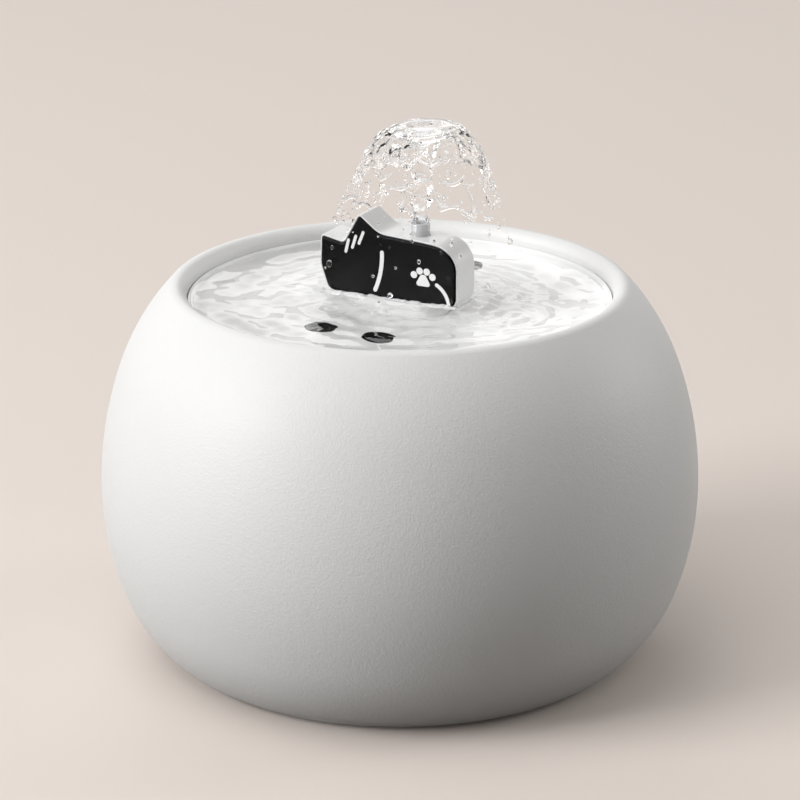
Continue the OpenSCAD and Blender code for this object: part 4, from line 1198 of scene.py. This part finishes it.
# Drops that have left the bell, in the same measure
BELL_DROPS = (
    (-29.3, -7, 3.4, 0.8), (-28.7, -7, 2.3, 0.6), (-27.7, -7, 6.9, 0.55), (-26.8, -7, 8.2, 0.45),
    (-26.3, -7, 5.7, 0.55), (-26.6, -7, 4.0, 0.6), (-24.7, -7, 4.8, 0.5), (-24.0, -7, 3.4, 0.45),
    (-23.1, -7, 6.5, 0.45), (-26.3, -7, 2.5, 0.5), (-18.5, -7, 14.0, 0.55), (-17.4, -7, 14.9, 0.4),
    (-15.8, -7, 9.6, 0.65), (-12.6, -7, 21.9, 0.7), (15.3, -7, 2.6, 0.65), (23.4, -7, 3.4, 0.7),
    (24.5, -7, 3.6, 0.55), (21.9, -7, 8.3, 0.5), (14.0, -7, 9.6, 0.5), (26.1, -7, 9.6, 0.6),
    (26.9, -7, 7.9, 0.4), (25.3, -7, 7.2, 0.4), (9.0, -7, 11.2, 0.4), (-6.7, -7, 4.3, 0.4),
)

# Drops on the cat's plate: x, height over the floor and radius in millimetres
PLATE_DROPS = (
    (20.0, 149.1, 0.8), (22.6, 140.5, 0.9), (19.1, 137.0, 0.5), (23.7, 132.3, 1.0),
    (-3.5, 148.8, 0.6), (0.0, 148.1, 0.7), (8.6, 151.6, 0.7), (5.0, 150.9, 0.5),
)

# Drops on the cat's back: x, y, height over the floor and radius in millimetres
BACK_DROPS = (
    (-6.0, -1, 153.4, 0.9),
    (2.2, -3, 152.4, 0.8),
    (15.5, -1.5, 151.7, 0.9),
    (17.5, 2.5, 151.5, 0.6),
    (-1.5, 3, 152.3, 0.7),
)

# Half section of the rising jet: height over the outlet and radius, in millimetres
JET_SECTION = (
    (-2.6, 3.4), (-1.2, 3.35), (0.0, 3.1), (1.6, 2.5), (3.4, 2.3), (5.0, 2.7), (6.6, 3.4),
    (8.0, 3.6), (9.8, 2.9), (12.2, 3.5), (14.4, 3.4), (16.4, 2.85), (18.6, 3.35), (21.0, 3.0),
    (23.4, 3.3), (25.6, 3.9), (27.6, 4.8), (29.6, 6.8), (31.2, 10.0),
)

# Half section of the film: radius and height over the outlet, in millimetres
FILM_SECTION = (
    (0.0, 32.2), (4.0, 32.5), (7.5, 33.4), (10.0, 33.5), (12.5, 32.6), (15.0, 31.0),
    (17.2, 28.7), (19.1, 25.5), (21.0, 22.0), (22.6, 18.6), (24.2, 14.9), (25.4, 11.6),
    (26.4, 8.0), (28.0, 2.0), (30.0, -5.0), (35.0, -26.0),
)


def follow(table, x):
    """Smooth line through a table of (place, height) points"""
    last = len(table) - 1
    k = max(i for i in range(last) if i == 0 or table[i][0] <= x)
    (x0, y0), (x1, y1) = table[k], table[k + 1]
    slopes = []
    for i in (k, k + 1):
        before, after = table[max(i - 1, 0)], table[min(i + 1, last)]
        slopes.append((after[1] - before[1]) / (after[0] - before[0]) * (x1 - x0))
    part = within((x - x0) / (x1 - x0))
    rest = 1 - part
    return (
        y0 * (1 + 2 * part) * rest**2
        + slopes[0] * part * rest**2
        + y1 * part**2 * (3 - 2 * part)
        - slopes[1] * part**2 * rest
    )


class FOUNTAIN_OT_bell(bpy.types.Operator):
    """Shape the water bell: film, rising jet and strands, with loose drops round it"""

    bl_idname = "fountain.bell"
    bl_label = "Water bell"

    def execute(self, context):
        scene = context.scene
        bell, stage = scene.fountain_bell, scene.fountain_stage
        chance = random.Random(5)
        water = self.film(bell, stage)
        jet = self.jet()
        strands = tubes("strands", self.strands(stage, chance))
        lumps = balls("lumps", self.lumps(stage, chance))
        pick(water)
        for part in (jet, strands, lumps):
            part.select_set(True)
        bpy.ops.object.join()
        water.data.remesh_voxel_size = bell.voxel
        bpy.ops.object.voxel_remesh()
        apply_modifier(water, "SMOOTH", factor=0.5, iterations=4)
        right = polar(1, stage.azimuth)
        for vertex in water.data.vertices:
            climb = max(0.0, (vertex.co.z - NOZZLE_TIP.z) / (JET_TOP - NOZZLE_TIP.z) - 0.25) / 0.75
            side = right.dot(vertex.co - Vector((OUTLET_X, 0, 0)))
            vertex.co += right * bell.lean * climb + Vector((0, 0, 0.03 * side * climb))
        pick(water)
        bpy.ops.object.shade_smooth()
        dress(water, "cat", "water", finish("water"), "water_jet")
        drops = balls("water_drops", self.loose_drops(bell, stage, chance))
        for vertex in drops.data.vertices:
            vertex.co += vertex.normal * 0.22 * MM * noise.noise(vertex.co * 900)
        dress(drops, "cat", "water", finish("water"))
        return {"FINISHED"}

    def height_at(self, r):
        """Height of the film over the outlet at a radius, in metres"""
        return follow(FILM_SECTION, r / MM) * MM

    def hem_at(self, turn, stage):
        """Radius at which the film ends, in metres: it breaks sooner in front than at the sides"""
        facing = math.sin(stage.azimuth - turn)
        around = polar(1, turn)
        waves = 1.1 * noise.noise(1.7 * around + Vector((0, 0, 3.3))) + 1.1 * noise.noise(4.6 * around)
        waves += 0.6 * noise.noise(11 * around)
        return (26.5 - 7.6 * max(0.0, facing + 0.12) ** 0.7 - 3.0 * max(0.0, -facing) + waves) * MM

    def film(self, bell, stage):
        """The film with its wrinkles, its hem and its torn sides"""
        rows, reach = 84, 27.2 * MM
        outline = []
        for k in range(rows + 1):
            r = reach * (k / rows) ** 0.82
            outline.append((r, NOZZLE_TIP.z + self.height_at(r)))
        film = lathe("water_bell", outline, (OUTLET_X, 0.0), steps=300, closed=False)
        pick(film)
        bpy.ops.object.mode_set(mode="EDIT")
        bpy.ops.mesh.select_mode(type="FACE")
        bpy.ops.mesh.select_all(action="DESELECT")
        bpy.ops.object.mode_set(mode="OBJECT")
        for face in film.data.polygons:
            face.select = self.torn(face.center, stage)
        bpy.ops.object.mode_set(mode="EDIT")
        bpy.ops.mesh.delete(type="FACE")
        bpy.ops.mesh.select_mode(type="VERT")
        bpy.ops.object.mode_set(mode="OBJECT")
        for vertex in film.data.vertices:
            x, y = vertex.co.x - OUTLET_X, vertex.co.y
            r, turn = math.hypot(x, y), math.atan2(y, x)
            loose = within((r - 10 * MM) / (10 * MM))
            wide = noise.noise(polar(2.6, turn, r * 130))
            near, _ = noise.voronoi(polar(3.1, turn, r * 165 + 5))
            push = (0.8 * wide - 0.1 + 0.9 * (0.42 - near[0])) * loose * MM
            vertex.co += Vector((x, y, 0)) / max(r, MM) * push + Vector((0, 0, 0.6 * push))
        apply_modifier(film, "SOLIDIFY", thickness=bell.film, offset=0.0)
        pushes = []
        for vertex in film.data.vertices:
            r = math.hypot(vertex.co.x - OUTLET_X, vertex.co.y)
            loose = within((r - 10 * MM) / (5 * MM), 0.1)
            wrinkle = 0.72 * noise.noise(vertex.co * 210) + 0.52 * noise.noise(vertex.co * 480)
            fold = 0.42 * math.exp(-(((r - 11.8 * MM) / (0.9 * MM)) ** 2))
            pushes.append(vertex.normal * (wrinkle * loose + fold) * MM)
        for vertex, push in zip(film.data.vertices, pushes):
            vertex.co += push
        return film

    def torn(self, place, stage):
        """Whether the film is torn open at a place"""
        x, y = place.x - OUTLET_X, place.y
        r, turn = math.hypot(x, y), math.atan2(y, x)
        if r > self.hem_at(turn, stage):
            return True
        fall = (r / MM - 19.6) / 6.0
        if fall < 0:
            return False
        near, _ = noise.voronoi(polar(4.4, turn, r * 190))
        broken = noise.noise(polar(6.5, turn, r * 140 + 3))
        return near[1] - near[0] > 0.44 - 0.34 * min(1.0, fall * 2.2) or broken > 0.6 - 0.9 * fall

    def jet(self):
        """The rising jet, which widens into the crown"""
        low, high = JET_SECTION[0][0], JET_SECTION[-1][0]
        steps = 70
        outline = [(0.0, NOZZLE_TIP.z + low * MM)]
        for k in range(steps + 1):
            h = low + (high - low) * k / steps
            outline.append((follow(JET_SECTION, h) * MM, NOZZLE_TIP.z + h * MM))
        outline += [(r * MM, NOZZLE_TIP.z + self.height_at(r * MM) - 0.3 * MM) for r in (9, 7, 5, 3, 1, 0)]
        jet = lathe("jet", outline, (OUTLET_X, 0.0), steps=72, closed=False)
        for vertex in jet.data.vertices:
            h = (vertex.co.z - NOZZLE_TIP.z) / MM
            x, y = vertex.co.x - OUTLET_X, vertex.co.y
            calm = within(h / 5) * within((31 - h) / 6)
            bumps = 1 + 0.3 * calm * noise.noise(Vector((x * 520, y * 520, h * 0.22)))
            vertex.co.x = OUTLET_X + x * bumps + 0.25 * calm * math.sin(h * 0.42 + 0.8) * MM
            vertex.co.y = y * bumps + 0.25 * calm * math.sin(h * 0.55) * MM
        return jet

    def strands(self, stage, chance):
        """Drawn strands, the hem and chance strands at the sides, as lists of (place, radius)"""
        found = [
            [(beside(side, away, height, stage), 1.35 * radius) for side, away, height, radius in strand]
            for strand in BELL_STRANDS
        ]
        found += self.hem(stage)
        points = 5
        for k in range(22):
            turn = stage.azimuth + (math.pi if k % 2 else 0.0) + chance.gauss(0.0, 0.42)
            r = chance.uniform(22.0, 24.5) * MM
            length = chance.uniform(2.0, 5.0) * MM
            lean = chance.uniform(-0.12, 0.12)
            strand = []
            for j in range(points):
                part = j / (points - 1)
                here = r + length * part * 0.5
                angle = turn + lean * part + 0.03 * math.sin(9 * part + turn)
                z = NOZZLE_TIP.z + self.height_at(here)
                size = chance.uniform(0.35, 0.65) * (1.35 if j in (0, points - 1) else 1.0)
                strand.append((polar(here, angle, z, OUTLET_X), size))
            found.append(strand)
        return found

    def hem(self, stage):
        """Thick edges where the film ends early, as lists of (place, radius)"""
        runs = [[]]
        steps = 180
        for k in range(steps + 1):
            turn = math.tau * k / steps
            r = self.hem_at(turn, stage) - 0.5 * MM
            if r < 21.5 * MM:
                size = 0.62 + 0.45 * noise.noise(polar(9, turn, 6.0))
                z = NOZZLE_TIP.z + self.height_at(r)
                runs[-1].append((polar(r, turn, z, OUTLET_X), size))
            else:
                runs.append([])
        return [run for run in runs if len(run) > 3]

    def lumps(self, stage, chance):
        """Lumps of water that merge into the jet and the strands"""
        found = []
        for side, away, height, radius in BELL_LUMPS:
            stretch = (1.0, 1.0, chance.uniform(0.85, 1.3))
            found.append((beside(side, away, height, stage), radius, stretch))
        return found

    def loose_drops(self, bell, stage, chance):
        """Drops that have left the bell and drops that sit on the cat"""
        found = []
        for _ in range(bell.drops):
            turn = chance.uniform(0, math.tau)
            r = chance.choice((chance.uniform(22, 28), chance.uniform(24, 34))) * MM
            place = polar(r, turn, self.height_at(r))
            place += Vector(chance.uniform(-1.6, 1.6) * MM for _ in range(3))
            size = 0.28 + 0.75 * chance.random() ** 2.6
            stretch = (1.0, 1.0, chance.uniform(0.8, 1.7))
            found.append((place + Vector((OUTLET_X, 0, NOZZLE_TIP.z)), size, stretch))
        lowest = TRAY_EDGE + 2 * MM
        found = [drop for drop in found if drop[0].z > lowest]
        for side, away, height, radius in BELL_DROPS:
            found.append((beside(side, away, height, stage), radius, (1, 1, 1.15)))
        return found + self.drops_on_cat()

    def drops_on_cat(self):
        """Flat drops on the plate and on the cat's back"""
        front = PLATE_LOW.y
        found = []
        for x, z, radius in PLATE_DROPS:
            found.append((Vector((x * MM, front, z * MM)), radius, (1, 0.45, 1)))
        for x, y, z, radius in BACK_DROPS:
            found.append((Vector((x * MM, y * MM, z * MM)), radius, (1, 1, 0.5)))
        return found


class FOUNTAIN_OT_finishes(bpy.types.Operator):
    """Give each carried-over node the finish of its slot"""

    bl_idname = "fountain.finishes"
    bl_label = "Finishes"

    def execute(self, context):
        for subpart in frame["record"]["subparts"]:
            node = frame["nodes"].get(subpart["node"])
            if node is None:
                raise RuntimeError(f"no node for {subpart['node']}")
            material = finish(subpart["material_slot"])
            if not node.material_slots:
                node.data.materials.append(material)
            for place in node.material_slots:
                place.material = material
        return {"FINISHED"}


def sharp_rays(tree):
    """1 for rays from the camera, off a mirror or through glass, 0 for scattered light"""
    rays = add_node(tree, "LightPath").outputs
    sharp = ("Is Camera Ray", "Is Glossy Ray", "Is Transmission Ray")
    return fold(tree, "MAXIMUM", *(rays[kind] for kind in sharp))


# Soft lamps: turn from the camera and lift over the floor in degrees, distance and width in
# metres, power in watts
LAMPS = {
    "Key": {"turn": -70, "lift": 22, "distance": 2.7, "size": 1.44, "power": 56.0},
    "Top": {"turn": -60, "lift": 72, "distance": 2.4, "size": 1.5, "power": 12.5},
    "Back window": {"turn": 188, "lift": 31, "distance": 2.85, "size": 1.5, "power": 9.8},
    "Right edge": {"turn": 106, "lift": 16, "distance": 2.7, "size": 0.9, "power": 13.5},
}
LAMP_AIM = Vector((0, 0, 0.09))

# The room that gloss and glass see: sine of the height over the horizon, and brightness
ROOM_BANDS = ((0.10, 0.97), (0.30, 0.97), (0.42, 0.36), (0.62, 0.26), (0.76, 0.97))
ROOM_TOP = (0.97, 0.96, 0.95)

# Tint and strength of the light that scattered rays see
EVEN_TINT = (1.0, 0.985, 0.965)
EVEN_LIGHT = 0.34

# The floor: its radius, the two ends of its fade into the backdrop, and the share of its colour
# that scattered rays see
FLOOR_RADIUS = 6.0
FADE_START = 1.1
FADE_END = 3.2
FLOOR_SCATTER = 0.13


class FOUNTAIN_OT_stage(bpy.types.Operator):
    """Set up the pale floor, the soft lamps, the world and the camera"""

    bl_idname = "fountain.stage"
    bl_label = "Stage"

    def execute(self, context):
        stage = context.scene.fountain_stage
        self.make_floor(stage)
        self.make_world(context.scene, stage)
        for name, settings in LAMPS.items():
            self.make_lamp(name, stage, **settings)
        self.make_camera(context.scene, stage)
        context.scene.view_settings.view_transform = "Standard"
        return {"FINISHED"}

    def make_floor(self, stage):
        """Pale floor that fades into the backdrop and throws little light back"""
        to_object_mode()
        bpy.ops.mesh.primitive_circle_add(vertices=96, radius=FLOOR_RADIUS, fill_type="NGON")
        floor = bpy.context.object
        floor.name = "floor"
        material, tree, shader, place = blank_material("Pale floor")
        grains = add_group(tree, "Moulded grain", place, {"Grain Scale": 90.0, "Mottle Scale": 3.0})
        colour = tuple(stage.floor)
        link_tone(tree, grains["Mottle"], shader, shade(colour, 0.99), shade(colour, 1.01))
        feed(tree, shader, {"Roughness": 0.7, "Specular IOR Level": 0.1})
        dim = add_node(tree, "BsdfDiffuse", {"Color": shade(colour, FLOOR_SCATTER)})
        far = add_node(tree, "Emission", {"Color": shade(stage.backdrop)})
        away = add_node(tree, "VectorMath", {0: place.outputs["Object"]}, operation="LENGTH")
        span = {"Value": away.outputs["Value"], "From Min": FADE_START, "From Max": FADE_END}
        fade = add_node(tree, "MapRange", span, interpolation_type="SMOOTHSTEP").outputs["Result"]
        seen = blend_shaders(tree, fade, shader.outputs["BSDF"], far.outputs["Emission"])
        surface = blend_shaders(tree, sharp_rays(tree), dim.outputs["BSDF"], seen)
        feed(tree, tree.nodes["Material Output"], {"Surface": surface})
        floor.data.materials.append(material)

    def make_world(self, scene, stage):
        """Even light for scattered rays, and a room with bright bands for gloss and glass"""
        world = bpy.data.worlds.new("Studio")
        scene.world = world
        world.use_nodes = True
        tree = world.node_tree
        even = tree.nodes["Background"]
        feed(tree, even, {"Color": shade(EVEN_TINT), "Strength": EVEN_LIGHT})
        place = add_node(tree, "TexCoord")
        split = add_node(tree, "SeparateXYZ", {"Vector": place.outputs["Generated"]})
        ramp = add_node(tree, "ValToRGB", {"Fac": split.outputs["Z"]})
        elements = ramp.color_ramp.elements
        elements[0].position = 0.0
        elements[0].color = shade(stage.backdrop)
        elements[1].position = 1.0
        elements[1].color = shade(ROOM_TOP)
        for height, level in ROOM_BANDS:
            elements.new(height).color = (level, level * 0.98, level * 0.96, 1.0)
        room = add_node(tree, "Background", {"Color": ramp.outputs["Color"]}).outputs["Background"]
        surface = blend_shaders(tree, sharp_rays(tree), even.outputs["Background"], room)
        feed(tree, tree.nodes["World Output"], {"Surface": surface})

    def make_lamp(self, name, stage, turn, lift, distance, size, power):
        """Square soft lamp, placed by its turn from the camera and its lift over the floor"""
        around, rise = stage.azimuth + math.radians(turn), math.radians(lift)
        level = math.cos(rise) * distance
        offset = (level * math.sin(around), -level * math.cos(around), math.sin(rise) * distance)
        place = LAMP_AIM + Vector(offset)
        light = bpy.data.lights.new(name, "AREA")
        light.size = size
        light.energy = power
        lamp = bpy.data.objects.new(name, light)
        lamp.location = place
        lamp.rotation_euler = (LAMP_AIM - place).to_track_quat("-Z", "Y").to_euler()
        lamp.visible_camera = False
        bpy.context.scene.collection.objects.link(lamp)

    def make_camera(self, scene, stage):
        """Camera in front of the bowl, turned and tilted as the stage's sizes say"""
        camera = bpy.data.cameras.new("Camera")
        camera.lens = stage.lens
        camera.sensor_width = 36
        camera.clip_start = 0.05
        view = bpy.data.objects.new("Camera", camera)
        view.location = (
            stage.distance * math.sin(stage.azimuth),
            -stage.distance * math.cos(stage.azimuth),
            stage.height,
        )
        view.rotation_euler = (math.pi / 2 - stage.pitch, 0, stage.azimuth)
        scene.collection.objects.link(view)
        scene.camera = view


class FOUNTAIN_PT_panel(bpy.types.Panel):
    """Lists the steps and sizes of the fountain"""

    bl_label = "Pet water fountain"
    bl_idname = "FOUNTAIN_PT_panel"
    bl_space_type = "VIEW_3D"
    bl_region_type = "UI"
    bl_category = "Fountain"

    def draw(self, context):
        """Shows a button for each step and a box of sizes for each group"""
        for step in STEPS:
            self.layout.operator(step.bl_idname)
        for name, group in SIZE_GROUPS.items():
            box = self.layout.box()
            box.label(text=group.__doc__)
            for key in group.__annotations__:
                box.prop(getattr(context.scene, name), key)


STEPS = (
    FOUNTAIN_OT_stage,
    FOUNTAIN_OT_finishes,
    FOUNTAIN_OT_bowl,
    FOUNTAIN_OT_tray,
    FOUNTAIN_OT_cat,
    FOUNTAIN_OT_nozzle,
    FOUNTAIN_OT_pool,
    FOUNTAIN_OT_bell,
)

CLASSES = tuple(SIZE_GROUPS.values()) + STEPS + (FOUNTAIN_PT_panel,)


def register():
    """Adds the classes and the groups of sizes to Blender"""
    for cls in CLASSES:
        bpy.utils.register_class(cls)
    for name, group in SIZE_GROUPS.items():
        setattr(bpy.types.Scene, name, PointerProperty(type=group))


def unregister():
    """Takes them out again"""
    for name in SIZE_GROUPS:
        delattr(bpy.types.Scene, name)
    for cls in reversed(CLASSES):
        bpy.utils.unregister_class(cls)


def main():
    """Builds everything in order"""
    register()
    for step in STEPS:
        family, name = step.bl_idname.split(".")
        getattr(getattr(bpy.ops, family), name)()


if __name__ == "__main__":
    main()
